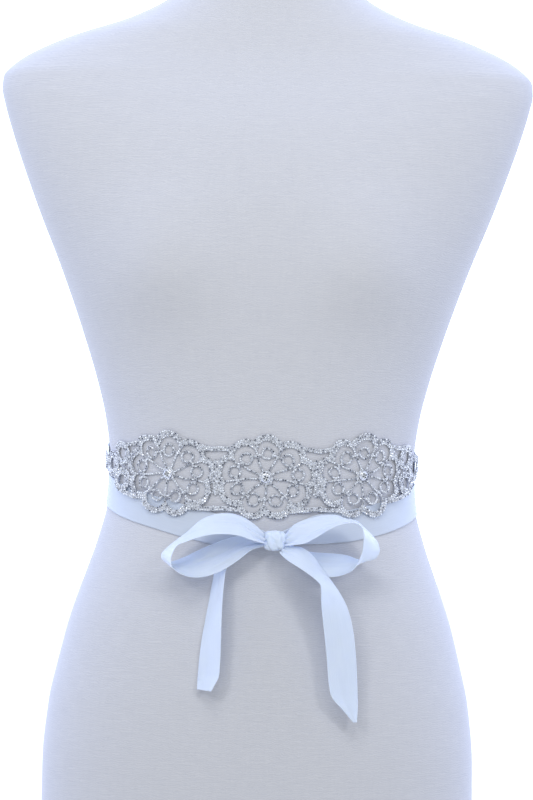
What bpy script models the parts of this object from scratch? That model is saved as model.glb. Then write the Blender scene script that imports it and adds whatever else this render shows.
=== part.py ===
# Bridal belt worn by a limbless dress form.
# The belt is a lace band of three rosettes with a ribbon sewn to each end. The ribbons go round
# the back, cross there, come forward under the lace and tie in a bow below it.
# Lengths here are in millimetres and go to metres when a mesh is made. +Z is up, the front is -Y,
# and the origin is the middle of the form's flat base.

import math

import bpy
import numpy as np
from mathutils import Vector
from mathutils.geometry import delaunay_2d_cdt

# Dress form
FORM_HEIGHT = 742.0
FORM_SEGMENTS = 60
BASE_ROUNDING = 16.0
NECK_ROUNDING = 12.0
BUST_RISE = 13.0
BUST_CENTRE_X = 82.0
BUST_CENTRE_Z = 446.0
BUST_WIDE = 44.0
BUST_TALL = 46.0

# Ribbon
RIBBON_WIDTH = 24.0
CLOTH = 1.0
SKIN_GAP = 0.62
CROSSING_LIFT = 1.45

# Lace band
BELT_SHIFT = 3.5
ROSETTE_PITCH = 78.0
EYELET_COUNT = 9
EYELET_FIRST = math.radians(8.0)
EYELET_RX = 27.0
EYELET_RZ = 20.5
EYELET_RING = 4.3
EYELET_INWARD = 2.2
STRAND_HALF = 1.5
RIM_INNER = 7.8
RIM_OUTER = 13.2
HUB_RADIUS = 6.2
WOBBLE = 0.45
LACE_EDGE = 1.0
LACE_RIDGE = 2.2
SMALLEST_HOLE = 7.0

# Crystal
CRYSTAL_RADIUS = 3.1
CRYSTAL_HEIGHT = 2.6

# Knot
KNOT_CENTRE = (11.0, -98.0, 236.6)
KNOT_HALF = (6.9, 9.2, 7.6)

# Dress form sections: z, half width, front depth, back depth, squareness
FORM_ROWS = [
    (0.0, 172.0, 97.0, 121.0, 2.30),
    (56.0, 171.5, 97.0, 123.0, 2.30),
    (104.0, 167.0, 96.5, 125.0, 2.25),
    (136.0, 160.0, 95.5, 125.0, 2.20),
    (168.0, 151.8, 93.5, 121.0, 2.15),
    (200.0, 141.0, 91.0, 112.0, 2.10),
    (232.0, 130.0, 88.2, 101.0, 2.05),
    (262.0, 122.6, 86.6, 92.5, 2.00),
    (285.0, 121.3, 86.0, 90.5, 2.00),
    (302.0, 121.8, 86.0, 90.5, 2.00),
    (328.0, 125.2, 86.8, 92.5, 2.03),
    (360.0, 133.0, 89.0, 97.0, 2.07),
    (392.0, 143.0, 92.5, 102.0, 2.12),
    (424.0, 154.0, 96.0, 106.0, 2.18),
    (456.0, 166.0, 97.5, 109.0, 2.25),
    (488.0, 179.0, 96.0, 111.0, 2.30),
    (520.0, 191.0, 91.0, 110.5, 2.35),
    (552.0, 202.0, 83.0, 107.0, 2.40),
    (578.0, 209.6, 73.5, 101.0, 2.40),
    (590.0, 212.0, 68.5, 97.5, 2.35),
    (600.0, 211.0, 64.5, 94.0, 2.30),
    (607.0, 205.0, 62.0, 91.0, 2.20),
    (616.0, 193.0, 59.0, 87.0, 2.10),
    (632.0, 158.4, 55.0, 79.0, 2.00),
    (648.0, 110.0, 51.5, 71.0, 2.00),
    (664.0, 79.4, 49.0, 64.0, 2.00),
    (678.0, 66.0, 48.5, 59.0, 2.00),
    (694.0, 60.0, 49.5, 55.5, 2.00),
    (714.0, 57.5, 51.0, 53.5, 2.00),
    (742.0, 57.0, 51.5, 53.0, 2.00),
]
FORM_RINGS = [
    0.0, 2.5, 16.0, 60.0, 100.0, 132.0, 160.0, 186.0, 208.0, 226.0, 240.0, 252.0, 263.0, 274.0, 285.0,
    295.0, 303.0, 311.0, 319.0, 328.0, 344.0, 366.0, 394.0, 422.0, 448.0, 476.0, 506.0, 536.0, 562.0,
    582.0, 595.0, 605.0, 615.0, 628.0, 642.0, 656.0, 672.0, 694.0, 728.0, 738.0, 742.0,
]

# Ribbon round the waist, from the end of the lace to the knot.
# Columns: arc from the centre front, z of its middle, width, gap under it. "back" is the centre back.
OVER_START = [
    (-153.0, 298.5, 12.0, 0.0),
    (-166.0, 299.0, 17.0, 0.0),
    (-184.0, 298.3, 22.0, 1.0),
    (-200.0, 297.0, 24.0, 1.0),
]
OVER_END = [
    (200.0, 271.5, 24.0, 1.0),
    (190.0, 270.2, 24.0, 0.9),
    (172.0, 268.0, 24.0, 0.0),
    (145.0, 264.3, 24.0, 0.0),
    (118.0, 258.0, 24.0, 0.0),
    (95.0, 252.6, 24.0, 0.0),
    (68.0, 247.6, 24.0, 0.0),
    (46.0, 245.2, 23.0, 0.2),
    (31.0, 241.6, 17.0, 0.6),
    (17.2, 237.6, 11.0, 1.0),
]
UNDER_START = [
    (153.0, 294.0, 12.0, 0.0),
    (165.0, 295.0, 17.0, 0.0),
    (180.0, 295.0, 22.0, 0.0),
    (200.0, 294.0, 24.0, 0.0),
]
UNDER_END = [
    (-200.0, 278.5, 24.0, 0.0),
    (-180.0, 276.3, 24.0, 0.0),
    (-165.0, 273.8, 24.0, 0.0),
    (-140.0, 268.0, 24.0, 0.0),
    (-110.0, 261.0, 24.0, 0.0),
    (-85.0, 255.7, 24.0, 0.0),
    (-52.0, 248.0, 24.0, 0.0),
    (-30.0, 243.2, 23.0, 0.2),
    (-12.0, 240.0, 17.0, 0.5),
    (4.5, 236.7, 11.0, 1.0),
]
BACK_HEIGHT = 287.0

# Bow. Each row is one rib across the ribbon: x and z of its near edge, x and z of its far edge,
# y of its middle, width. The far edge lies behind the near one by what the width leaves.
LEFT_LOOP = [
    (3.4, 234.4, 3.4, 241.4, -103.5, 9.5),
    (-7.0, 237.6, -4.5, 249.0, -107.0, 17.0),
    (-16.4, 241.0, -14.5, 255.2, -110.5, 22.0),
    (-26.0, 242.3, -24.0, 257.6, -112.5, 24.0),
    (-36.0, 242.0, -35.0, 256.6, -113.5, 24.0),
    (-46.0, 239.8, -45.5, 252.0, -113.0, 24.0),
    (-56.0, 236.0, -56.5, 241.8, -111.5, 24.0),
    (-63.0, 232.6, -65.5, 234.8, -109.5, 24.0),
    (-66.3, 227.0, -72.3, 228.9, -107.5, 24.0),
    (-67.6, 221.5, -75.7, 224.2, -106.0, 24.0),
    (-66.8, 216.8, -74.6, 220.3, -105.0, 24.0),
    (-63.0, 213.0, -69.5, 219.0, -104.2, 24.0),
    (-57.0, 209.8, -60.0, 221.8, -103.6, 24.0),
    (-48.0, 208.3, -49.0, 227.4, -103.2, 24.0),
    (-38.0, 209.8, -38.5, 232.4, -102.8, 24.0),
    (-27.0, 214.6, -28.0, 236.6, -102.0, 23.5),
    (-16.0, 222.2, -17.0, 239.6, -101.0, 20.0),
    (-6.4, 229.6, -7.0, 240.0, -99.8, 14.0),
    (3.4, 232.6, 3.4, 239.0, -98.8, 8.5),
]
RIGHT_LOOP = [
    (18.5, 233.2, 18.5, 240.4, -102.5, 9.5),
    (26.0, 234.4, 24.0, 248.0, -105.5, 17.5),
    (34.0, 236.4, 31.5, 252.6, -108.5, 23.0),
    (41.0, 240.3, 39.0, 255.0, -110.5, 24.0),
    (49.0, 245.6, 48.0, 257.3, -111.5, 24.0),
    (57.3, 250.0, 57.0, 257.6, -111.5, 24.0),
    (66.0, 252.2, 65.5, 254.8, -111.0, 24.0),
    (72.5, 251.9, 73.5, 252.9, -110.0, 24.0),
    (76.6, 248.9, 79.5, 247.6, -108.5, 24.0),
    (78.0, 243.0, 86.0, 241.0, -107.0, 24.0),
    (78.0, 236.5, 90.2, 235.2, -105.5, 24.0),
    (77.4, 230.5, 91.2, 229.0, -104.0, 24.0),
    (75.8, 225.5, 88.5, 224.0, -102.8, 24.0),
    (73.8, 220.8, 82.0, 222.0, -101.8, 24.0),
    (71.0, 216.6, 74.5, 223.0, -101.2, 24.0),
    (66.5, 213.2, 68.0, 225.4, -100.2, 23.0),
    (59.0, 210.6, 60.0, 226.8, -99.4, 22.0),
    (50.0, 210.1, 50.0, 227.4, -98.8, 21.0),
    (41.0, 213.0, 40.5, 227.9, -98.2, 19.0),
    (31.0, 220.3, 31.0, 229.8, -97.0, 15.0),
    (24.0, 227.6, 24.0, 233.0, -96.0, 10.0),
    (18.5, 231.6, 18.5, 236.6, -94.9, 6.8),
]
LEFT_TAIL = [
    (3.4, 233.4, 3.4, 237.4, -95.0, 5.5),
    (-5.5, 231.4, -6.0, 237.4, -95.2, 8.5),
    (-13.0, 227.0, -15.0, 235.0, -95.4, 11.0),
    (-19.5, 221.8, -23.5, 229.5, -95.2, 13.0),
    (-24.2, 217.5, -30.5, 222.0, -95.6, 13.5),
    (-26.2, 213.0, -34.2, 213.5, -96.0, 15.0),
    (-27.3, 203.5, -36.5, 203.0, -98.5, 19.0),
    (-28.2, 190.0, -38.8, 189.0, -100.5, 22.0),
    (-28.5, 174.0, -41.6, 173.0, -102.0, 24.0),
    (-28.7, 158.6, -44.1, 157.6, -103.0, 24.0),
    (-29.1, 145.0, -45.6, 144.0, -103.6, 24.0),
    (-30.3, 132.6, -46.4, 132.4, -104.0, 23.6),
    (-33.0, 127.0, -46.6, 127.0, -104.2, 20.0),
    (-35.6, 121.8, -46.6, 122.0, -104.4, 16.0),
]
RIGHT_TAIL = [
    (14.5, 227.9, 19.2, 232.1, -104.2, 8.0),
    (18.2, 224.6, 24.0, 232.4, -108.5, 13.0),
    (22.5, 221.8, 29.6, 232.6, -112.5, 18.5),
    (29.0, 218.0, 36.0, 229.6, -116.0, 20.5),
    (36.0, 213.6, 41.5, 224.4, -117.5, 21.0),
    (42.0, 209.2, 46.0, 217.8, -118.0, 21.0),
    (45.6, 205.4, 51.0, 211.6, -117.5, 21.5),
    (46.4, 200.0, 56.4, 204.6, -116.0, 22.5),
    (46.9, 193.0, 61.8, 197.0, -113.8, 24.0),
    (47.4, 185.0, 66.2, 188.6, -111.5, 24.0),
    (48.4, 176.0, 69.4, 178.8, -110.2, 24.0),
    (49.8, 165.0, 72.0, 167.0, -109.0, 24.0),
    (51.3, 152.6, 73.6, 154.0, -108.0, 24.0),
    (52.6, 139.0, 74.8, 140.0, -107.2, 24.0),
    (53.8, 127.6, 75.5, 128.0, -106.6, 24.0),
    (55.4, 120.4, 75.9, 120.4, -106.2, 23.0),
    (64.5, 109.2, 76.1, 109.2, -105.6, 13.0),
    (72.6, 99.4, 75.6, 99.4, -105.0, 3.4),
]

COLOURS = {
    "form": (0.83, 0.84, 0.87, 1.0),
    "satin": (0.86, 0.89, 0.96, 1.0),
    "lace": (0.62, 0.64, 0.68, 1.0),
    "crystal": (0.88, 0.91, 0.95, 1.0),
}


def smooth_rows(rows, at):
    """Values between a table's rows, by a cubic that never overshoots them. The first column is the position."""
    table = np.array(rows, float)
    if table[0, 0] > table[-1, 0]:
        table = table[::-1]
    x = table[:, 0]
    y = table[:, 1:]
    h = np.diff(x)[:, None]
    slope = np.diff(y, axis=0) / h
    same = slope[:-1] * slope[1:] > 0
    safe = np.where(same, slope[:-1] + slope[1:], 1.0)
    middle = np.where(same, 2.0 * slope[:-1] * slope[1:] / safe, 0.0)
    tangent = np.concatenate([slope[:1], middle, slope[-1:]])
    at = np.clip(np.asarray(at, float), x[0], x[-1])
    k = np.clip(np.searchsorted(x, at, side="right") - 1, 0, len(x) - 2)
    u = ((at - x[k]) / (x[k + 1] - x[k]))[..., None]
    step = (x[k + 1] - x[k])[..., None]
    value = (2 * u**3 - 3 * u**2 + 1) * y[k]
    value = value + (u**3 - 2 * u**2 + u) * step * tangent[k]
    value = value + (3 * u**2 - 2 * u**3) * y[k + 1]
    return value + (u**3 - u**2) * step * tangent[k + 1]


def form_point(angle, z):
    """Points on the dress form. angle is 0 at the front and grows towards +X, z is the height."""
    angle, z = np.broadcast_arrays(np.asarray(angle, float), np.asarray(z, float))
    half, front, back, square = np.moveaxis(smooth_rows(FORM_ROWS, z), -1, 0)
    low = BASE_ROUNDING - np.clip(z, 0.0, BASE_ROUNDING)
    high = NECK_ROUNDING - np.clip(FORM_HEIGHT - z, 0.0, NECK_ROUNDING)
    inset = BASE_ROUNDING - np.sqrt(BASE_ROUNDING**2 - low**2)
    inset = inset + NECK_ROUNDING - np.sqrt(NECK_ROUNDING**2 - high**2)
    depth = np.where(np.cos(angle) > 0, front, back) - inset
    half = half - inset
    reach = (np.abs(np.sin(angle)) / half) ** square + (np.abs(np.cos(angle)) / depth) ** square
    r = reach ** (-1.0 / square)
    x = r * np.sin(angle)
    y = -r * np.cos(angle)
    facing = np.clip(np.cos(angle) * 2.5, 0.0, 1.0)
    facing = facing * facing * (3.0 - 2.0 * facing)
    across = (np.abs(x) - BUST_CENTRE_X) / BUST_WIDE
    up = (z - BUST_CENTRE_Z) / np.where(z < BUST_CENTRE_Z, BUST_TALL * 0.85, BUST_TALL * 1.25)
    y = y - BUST_RISE * facing * np.exp(-across * across - up * up)
    return np.stack([x, y, z], axis=-1)


def waist_arc():
    """Angle round the form for each arc length from the centre front, measured at the belt's height."""
    angle = np.linspace(-math.pi, math.pi, 4001)
    ring = form_point(angle, 285.0)
    along = np.concatenate([[0.0], np.cumsum(np.linalg.norm(np.diff(ring, axis=0), axis=1))])
    return along - along[-1] / 2.0, angle


ARC_LENGTHS, ARC_ANGLES = waist_arc()
GIRTH = ARC_LENGTHS[-1] - ARC_LENGTHS[0]


def angle_at(arc):
    """Angle round the form at an arc length from the centre front, any number of turns on."""
    arc = (np.asarray(arc, float) + GIRTH / 2.0) % GIRTH - GIRTH / 2.0
    return np.interp(arc, ARC_LENGTHS, ARC_ANGLES)


def on_form(arc, z, out):
    """Points held out from the form's surface along its normal."""
    arc, z, out = np.broadcast_arrays(
        np.asarray(arc, float), np.asarray(z, float), np.asarray(out, float)
    )
    here = form_point(angle_at(arc), z)
    aside = form_point(angle_at(arc + 1.0), z) - form_point(angle_at(arc - 1.0), z)
    above = form_point(angle_at(arc), z + 1.0) - form_point(angle_at(arc), z - 1.0)
    normal = np.cross(aside, above)
    normal = normal / np.linalg.norm(normal, axis=-1, keepdims=True)
    return here + normal * out[..., None]


def material(name):
    made = bpy.data.materials.get(name)
    if made is None:
        made = bpy.data.materials.new(name)
        made.use_nodes = True
        shader = made.node_tree.nodes["Principled BSDF"]
        shader.inputs["Base Color"].default_value = COLOURS[name]
        shader.inputs["Roughness"].default_value = 0.5
    return made


def solid(name, points, faces, colour):
    """One object from points in millimetres and faces that go round outwards."""
    mesh = bpy.data.meshes.new(name)
    mesh.from_pydata([tuple(p) for p in np.asarray(points) * 0.001], [], [list(f) for f in faces])
    mesh.validate()
    mesh.update()
    made = bpy.data.objects.new(name, mesh)
    made.data.materials.append(material(colour))
    bpy.context.scene.collection.objects.link(made)
    return made


def sheet_faces(rows, columns):
    """Faces of a closed sheet whose outer grid comes first, then its inner grid, both rows by columns."""
    faces = []
    under = rows * columns
    for i in range(rows - 1):
        for j in range(columns - 1):
            a = i * columns + j
            b = a + 1
            c = a + columns + 1
            d = a + columns
            faces.append((a, b, c))
            faces.append((a, c, d))
            faces.append((under + a, under + c, under + b))
            faces.append((under + a, under + d, under + c))
    for i in range(rows - 1):
        for j, turn in ((0, 1), (columns - 1, -1)):
            a = i * columns + j
            b = a + columns
            side = (a, b, under + b, under + a)
            faces.append(side if turn == 1 else side[::-1])
    for j in range(columns - 1):
        for i, turn in ((0, -1), (rows - 1, 1)):
            a = i * columns + j
            b = a + 1
            side = (a, b, under + b, under + a)
            faces.append(side if turn == 1 else side[::-1])
    return faces


def closed_sheet(name, outer, inner, colour):
    """A cloth wall between two grids of points. Its faces are turned to point outwards."""
    rows, columns = outer.shape[:2]
    points = np.concatenate([outer.reshape(-1, 3), inner.reshape(-1, 3)])
    faces = sheet_faces(rows, columns)
    volume = 0.0
    for face in faces:
        a, b, c = points[face[0]], points[face[1]], points[face[2]]
        volume += float(np.dot(a, np.cross(b, c)))
        if len(face) == 4:
            volume += float(np.dot(a, np.cross(c, points[face[3]])))
    if volume < 0:
        faces = [face[::-1] for face in faces]
    return solid(name, points, faces, colour)


def build_form():
    """The limbless form: rings of the section table joined from the base to the closed neck."""
    arcs = -GIRTH / 2.0 + GIRTH * np.arange(FORM_SEGMENTS) / FORM_SEGMENTS
    angles = angle_at(arcs)
    points = []
    for z in FORM_RINGS:
        points.extend(form_point(angles, z))
    base = len(points)
    points.append((0.0, 0.0, 0.0))
    points.append((0.0, 0.0, FORM_HEIGHT))
    faces = []
    n = FORM_SEGMENTS
    for i in range(len(FORM_RINGS) - 1):
        for j in range(n):
            k = (j + 1) % n
            faces.append((i * n + j, i * n + k, (i + 1) * n + k, (i + 1) * n + j))
    top = (len(FORM_RINGS) - 1) * n
    for j in range(n):
        k = (j + 1) % n
        faces.append((base, k, j))
        faces.append((base + 1, top + j, top + k))
    return solid("dress_form", points, faces, "form")


def full_rows(start, end, toward):
    """The ribbon's table with the centre back added, as arcs that only fall or only rise."""
    back = [(toward * GIRTH / 2.0, BACK_HEIGHT, RIBBON_WIDTH, start[-1][3])]
    later = [(row[0] + toward * GIRTH,) + row[1:] for row in end]
    return start + back + later


def ribbon_grid(rows, lift, out, columns):
    """Points across and along a ribbon that lies round the form."""
    low = min(rows[0][0], rows[-1][0])
    high = max(rows[0][0], rows[-1][0])
    count = int((high - low) / 8.0) + 1
    arc = np.linspace(low, high, count)
    height, width, gap = np.moveaxis(smooth_rows(rows, arc), -1, 0)
    slope = np.gradient(height, arc)
    lean = 1.0 / np.sqrt(1.0 + slope * slope)
    across = np.linspace(-0.5, 0.5, columns)
    s = arc[:, None] - across * width[:, None] * (slope * lean)[:, None]
    z = height[:, None] + across * width[:, None] * lean[:, None]
    away = SKIN_GAP + lift * gap[:, None] + out + 0.0 * s
    return on_form(s, z, away)


def build_ribbon(name, rows, lift):
    outer = ribbon_grid(rows, lift, CLOTH, 4)
    inner = ribbon_grid(rows, lift, 0.0, 4)
    return closed_sheet(name, outer, inner, "satin")


def eyelets(centre_x):
    """Centres of one rosette's ring of eyelets."""
    turns = EYELET_FIRST + np.arange(EYELET_COUNT) * 2.0 * math.pi / EYELET_COUNT
    return np.stack([centre_x + EYELET_RX * np.cos(turns), EYELET_RZ * np.sin(turns)], axis=-1)


def eyelet_rings(centre_x):
    """Centres of the rings inside the scallops, each a little nearer the hub than its scallop."""
    around = eyelets(centre_x)
    out = around - np.array([centre_x, 0.0])
    return around - out / np.linalg.norm(out, axis=1, keepdims=True) * EYELET_INWARD


def end_motif(side):
    """Wide rings of the fan at one end: x, z, open radius, outer radius."""
    edge = 1.5 * ROSETTE_PITCH
    return [
        (side * (edge + 8.5), 10.2, 4.3, 10.0),
        (side * (edge + 8.0), -10.2, 4.3, 10.0),
        (side * (edge + 25.0), 0.0, 4.8, 10.6),
    ]


def bent(x, z):
    """The even plan's place for a place on the lace, which a hand has set a little unevenly."""
    across = WOBBLE * np.sin(0.23 * z + 0.11 * x + 0.4) + 0.45 * WOBBLE * np.sin(0.41 * x - 0.30 * z + 1.0)
    up = WOBBLE * np.sin(0.19 * x + 0.17 * z + 2.0) + 0.45 * WOBBLE * np.sin(0.37 * z - 0.43 * x)
    return x + across, z + up


def unbent(points):
    """Places on the lace for places in its even plan."""
    points = np.asarray(points, float)
    found = points.copy()
    for _ in range(4):
        x, z = bent(found[:, 0], found[:, 1])
        found = found + points - np.stack([x, z], axis=-1)
    return found


def strands():
    """Every lace strand as (kind, values, half width): rings (x, z, radius) and straights (x, z, x, z)."""
    made = []
    for k in (-1, 0, 1):
        cx = k * ROSETTE_PITCH
        around = eyelet_rings(cx)
        made.append(("disc", (cx, 0.0, 0.0), HUB_RADIUS))
        for i, (x, z) in enumerate(around):
            made.append(("ring", (x, z, EYELET_RING), STRAND_HALF))
            turn = EYELET_FIRST + (i + 0.5) * 2.0 * math.pi / EYELET_COUNT
            end = (cx + (EYELET_RX + 4.2) * math.cos(turn), (EYELET_RZ + 3.6) * math.sin(turn))
            made.append(("line", (cx, 0.0) + end, STRAND_HALF - 0.2))
            after = around[(i + 1) % EYELET_COUNT]
            gap = after - (x, z)
            reach = gap / np.linalg.norm(gap) * EYELET_RING
            made.append(("line", (x + reach[0], z + reach[1], after[0] - reach[0], after[1] - reach[1]), 1.5))
    for side in (-1, 1):
        mid = side * ROSETTE_PITCH / 2.0
        made.append(("line", (mid, 10.5, mid + 0.6, -12.5), 3.0))
        made.append(("line", (mid - 13.0, 22.0, mid, 20.6), 2.5))
        made.append(("line", (mid, 20.6, mid + 13.0, 22.0), 2.5))
        made.append(("line", (mid - 20.0, -25.6, mid, -24.6), 2.5))
        made.append(("line", (mid, -24.6, mid + 20.0, -25.6), 2.5))
        edge = side * 1.5 * ROSETTE_PITCH
        made.append(("line", (edge - side * 10.0, 20.6, edge + side * 8.0, 18.2), 2.3))
        made.append(("line", (edge - side * 11.0, -21.2, edge + side * 8.0, -18.2), 2.3))
        made.append(("ring", (edge + side * 42.0, 0.0, 5.9), 2.0))
    return made


def strand_distance(x, z):
    """Signed distance to the lace. It is negative inside a strand."""
    x, z = bent(x, z)
    best = np.full(np.shape(x), 1e3)
    for kind, v, half in strands():
        if kind == "line":
            ax, az, bx, bz = v
            length = (bx - ax) ** 2 + (bz - az) ** 2
            t = np.clip(((x - ax) * (bx - ax) + (z - az) * (bz - az)) / length, 0.0, 1.0)
            d = np.hypot(x - ax - t * (bx - ax), z - az - t * (bz - az)) - half
        else:
            d = np.abs(np.hypot(x - v[0], z - v[1]) - v[2]) - half
        best = np.minimum(best, d)
    return np.minimum(best, rim_distance(x, z))


def rim_distance(x, z):
    """Signed distance to the scalloped rims: inside the outer circles and outside the open ones."""
    best = np.full(np.shape(x), 1e3)
    for k in (-1, 0, 1):
        cx = k * ROSETTE_PITCH
        outer = np.full(np.shape(x), 1e3)
        inner = (np.hypot((x - cx) / EYELET_RX, z / EYELET_RZ) - 1.0) * EYELET_RZ
        for ex, ez in eyelets(cx):
            d = np.hypot(x - ex, z - ez)
            outer = np.minimum(outer, d - RIM_OUTER)
            inner = np.minimum(inner, d - RIM_INNER)
        best = np.minimum(best, np.maximum(outer, -inner))
    for side in (-1, 1):
        outer = np.full(np.shape(x), 1e3)
        inner = np.full(np.shape(x), 1e3)
        for ex, ez, opening, reach in end_motif(side):
            d = np.hypot(x - ex, z - ez)
            outer = np.minimum(outer, d - reach)
            inner = np.minimum(inner, d - opening)
        best = np.minimum(best, np.maximum(outer, -inner))
    return best


def outlines(step):
    """Closed outlines of the lace, by walking the zero line of its distance over a square grid."""
    xs = np.arange(-172.0, 172.01, step) + 0.013
    zs = np.arange(-36.0, 36.01, step) + 0.007
    grid = strand_distance(*np.meshgrid(xs, zs, indexing="ij"))
    links = {}
    places = {}

    def crossing(i, j, across):
        key = (i, j, across)
        if key not in places:
            a = grid[i, j]
            b = grid[i + 1, j] if across else grid[i, j + 1]
            t = a / (a - b)
            places[key] = (xs[i] + t * step, zs[j]) if across else (xs[i], zs[j] + t * step)
        return key

    inside = grid < 0.0
    mixed = inside[:-1, :-1].astype(int) + inside[1:, :-1] + inside[1:, 1:] + inside[:-1, 1:]
    for i, j in np.argwhere((mixed > 0) & (mixed < 4)):
        corners = (inside[i, j], inside[i + 1, j], inside[i + 1, j + 1], inside[i, j + 1])
        sides = [
            (0, 1, crossing(i, j, True) if corners[0] != corners[1] else None),
            (1, 2, crossing(i + 1, j, False) if corners[1] != corners[2] else None),
            (2, 3, crossing(i, j + 1, True) if corners[2] != corners[3] else None),
            (3, 0, crossing(i, j, False) if corners[3] != corners[0] else None),
        ]
        cut = [(key, corners[a]) for a, _, key in sides if key is not None]
        leaving = [key for key, was_in in cut if was_in]
        entering = [key for key, was_in in cut if not was_in]
        if len(cut) == 4 and sides[0][2] is not None:
            entering = entering[1:] + entering[:1] if corners[0] else entering
        for a, b in zip(leaving, entering):
            links[a] = b
    loops = []
    while links:
        first, follow = links.popitem()
        loop = [first]
        while follow != first:
            loop.append(follow)
            follow = links.pop(follow)
        loops.append(np.array([places[key] for key in loop]))
    return loops


def thinned(loop, tolerance):
    """The loop with only the points that keep it near its old line, and near the form's sides too."""
    far = int(np.argmax(np.hypot(*(loop - loop[0]).T)))
    ring = np.concatenate([loop, loop[:1]])
    keep = {0, far, len(loop)}
    todo = [(0, far), (far, len(loop))]
    while todo:
        a, b = todo.pop()
        if b - a < 2:
            continue
        chord = ring[b] - ring[a]
        long = max(float(np.hypot(*chord)), 1e-9)
        between = ring[a + 1 : b] - ring[a]
        off = np.abs(chord[0] * between[:, 1] - chord[1] * between[:, 0]) / long
        k = int(off.argmax())
        wrapped = abs(ring[a][0]) > 85.0 and long > 9.0
        if wrapped and off[k] <= tolerance:
            k = len(between) // 2
        if wrapped or off[k] > tolerance:
            keep.add(a + 1 + k)
            todo.append((a, a + 1 + k))
            todo.append((a + 1 + k, b))
    chosen = sorted(keep)[:-1]
    return loop[chosen]


def area_of(loop):
    after = np.roll(loop, -1, axis=0)
    return 0.5 * float(np.sum(loop[:, 0] * after[:, 1] - after[:, 0] * loop[:, 1]))


def ridge_points(spacing):
    """Points along the middle of every strand, where the lace stands highest."""
    made = []
    for kind, v, half in strands():
        if kind == "line":
            a = np.array(v[:2])
            b = np.array(v[2:])
            count = max(int(np.hypot(*(b - a)) / spacing), 1)
            for t in (np.arange(count) + 0.5) / count:
                made.append(tuple(a + t * (b - a)))
        elif kind == "ring":
            count = max(int(2.0 * math.pi * v[2] / spacing), 6)
            for t in np.arange(count) * 2.0 * math.pi / count:
                made.append((v[0] + v[2] * math.cos(t), v[1] + v[2] * math.sin(t)))
    middle = (RIM_INNER + RIM_OUTER) / 2.0
    for k in (-1, 0, 1):
        for ex, ez in eyelets(k * ROSETTE_PITCH):
            for t in np.arange(20) * 2.0 * math.pi / 20.0:
                made.append((ex + middle * math.cos(t), ez + middle * math.sin(t)))
    for side in (-1, 1):
        for ex, ez, opening, reach in end_motif(side):
            for t in np.arange(14) * 2.0 * math.pi / 14.0:
                r = (opening + reach) / 2.0
                made.append((ex + r * math.cos(t), ez + r * math.sin(t)))
    return unbent(made)


def inside_loops(points, loops):
    """Whether each point is inside an odd number of the loops."""
    count = np.zeros(len(points), int)
    for loop in loops:
        after = np.roll(loop, -1, axis=0)
        for (ax, az), (bx, bz) in zip(loop, after):
            spans = (az > points[:, 1]) != (bz > points[:, 1])
            if az != bz:
                at = ax + (points[:, 1] - az) / (bz - az) * (bx - ax)
                count += spans & (points[:, 0] < at)
    return count % 2 == 1


def filled(loops, extra):
    """Triangles over the plan's loops, through the extra points too: the points and the triangles."""
    points = [tuple(p) for loop in loops for p in loop]
    edges = []
    start = 0
    for loop in loops:
        n = len(loop)
        edges.extend((start + i, start + (i + 1) % n) for i in range(n))
        start += n
    points.extend(tuple(p) for p in extra)
    found = delaunay_2d_cdt([Vector(p) for p in points], edges, [], 0, 1e-6)
    place = {}
    for made, before in enumerate(found[3]):
        for old in before:
            place[made] = old
    flat = np.array([tuple(p) for p in found[0]])
    triangles = np.array([tuple(f) for f in found[2]])
    middle = flat[triangles].mean(axis=1)
    triangles = triangles[inside_loops(middle, loops)]
    return np.array(points), [[place[v] for v in t] for t in triangles]


def ribbon_under_lace(arc, z):
    """1 where a ribbon passes behind the lace and 0 clear of it, with a soft step between."""
    left = smooth_rows(UNDER_END, arc)
    right = smooth_rows(OVER_END, arc)
    middle = np.where(arc < 10.0, left[..., 0], right[..., 0])
    half = np.where(arc < 10.0, left[..., 1], right[..., 1]) / 2.0
    away = np.abs(z - middle) - half
    near = np.clip(1.0 - (away - 4.5) / 9.0, 0.0, 1.0)
    sewn = np.clip((np.abs(arc) - 143.0) / 8.0, 0.0, 1.0)
    near = np.maximum(near, sewn)
    return near * near * (3.0 - 2.0 * near)


def lace_points(plan, high):
    """The lace's plan laid on the form, high above its underside, over any ribbon behind it."""
    arc = plan[:, 0] + BELT_SHIFT
    z = 284.4 + 11.5 * (np.abs(plan[:, 0]) / 165.0) ** 2.6 + plan[:, 1]
    out = SKIN_GAP + 1.50 * ribbon_under_lace(arc, z) + high
    return on_form(arc, z, out)


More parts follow.
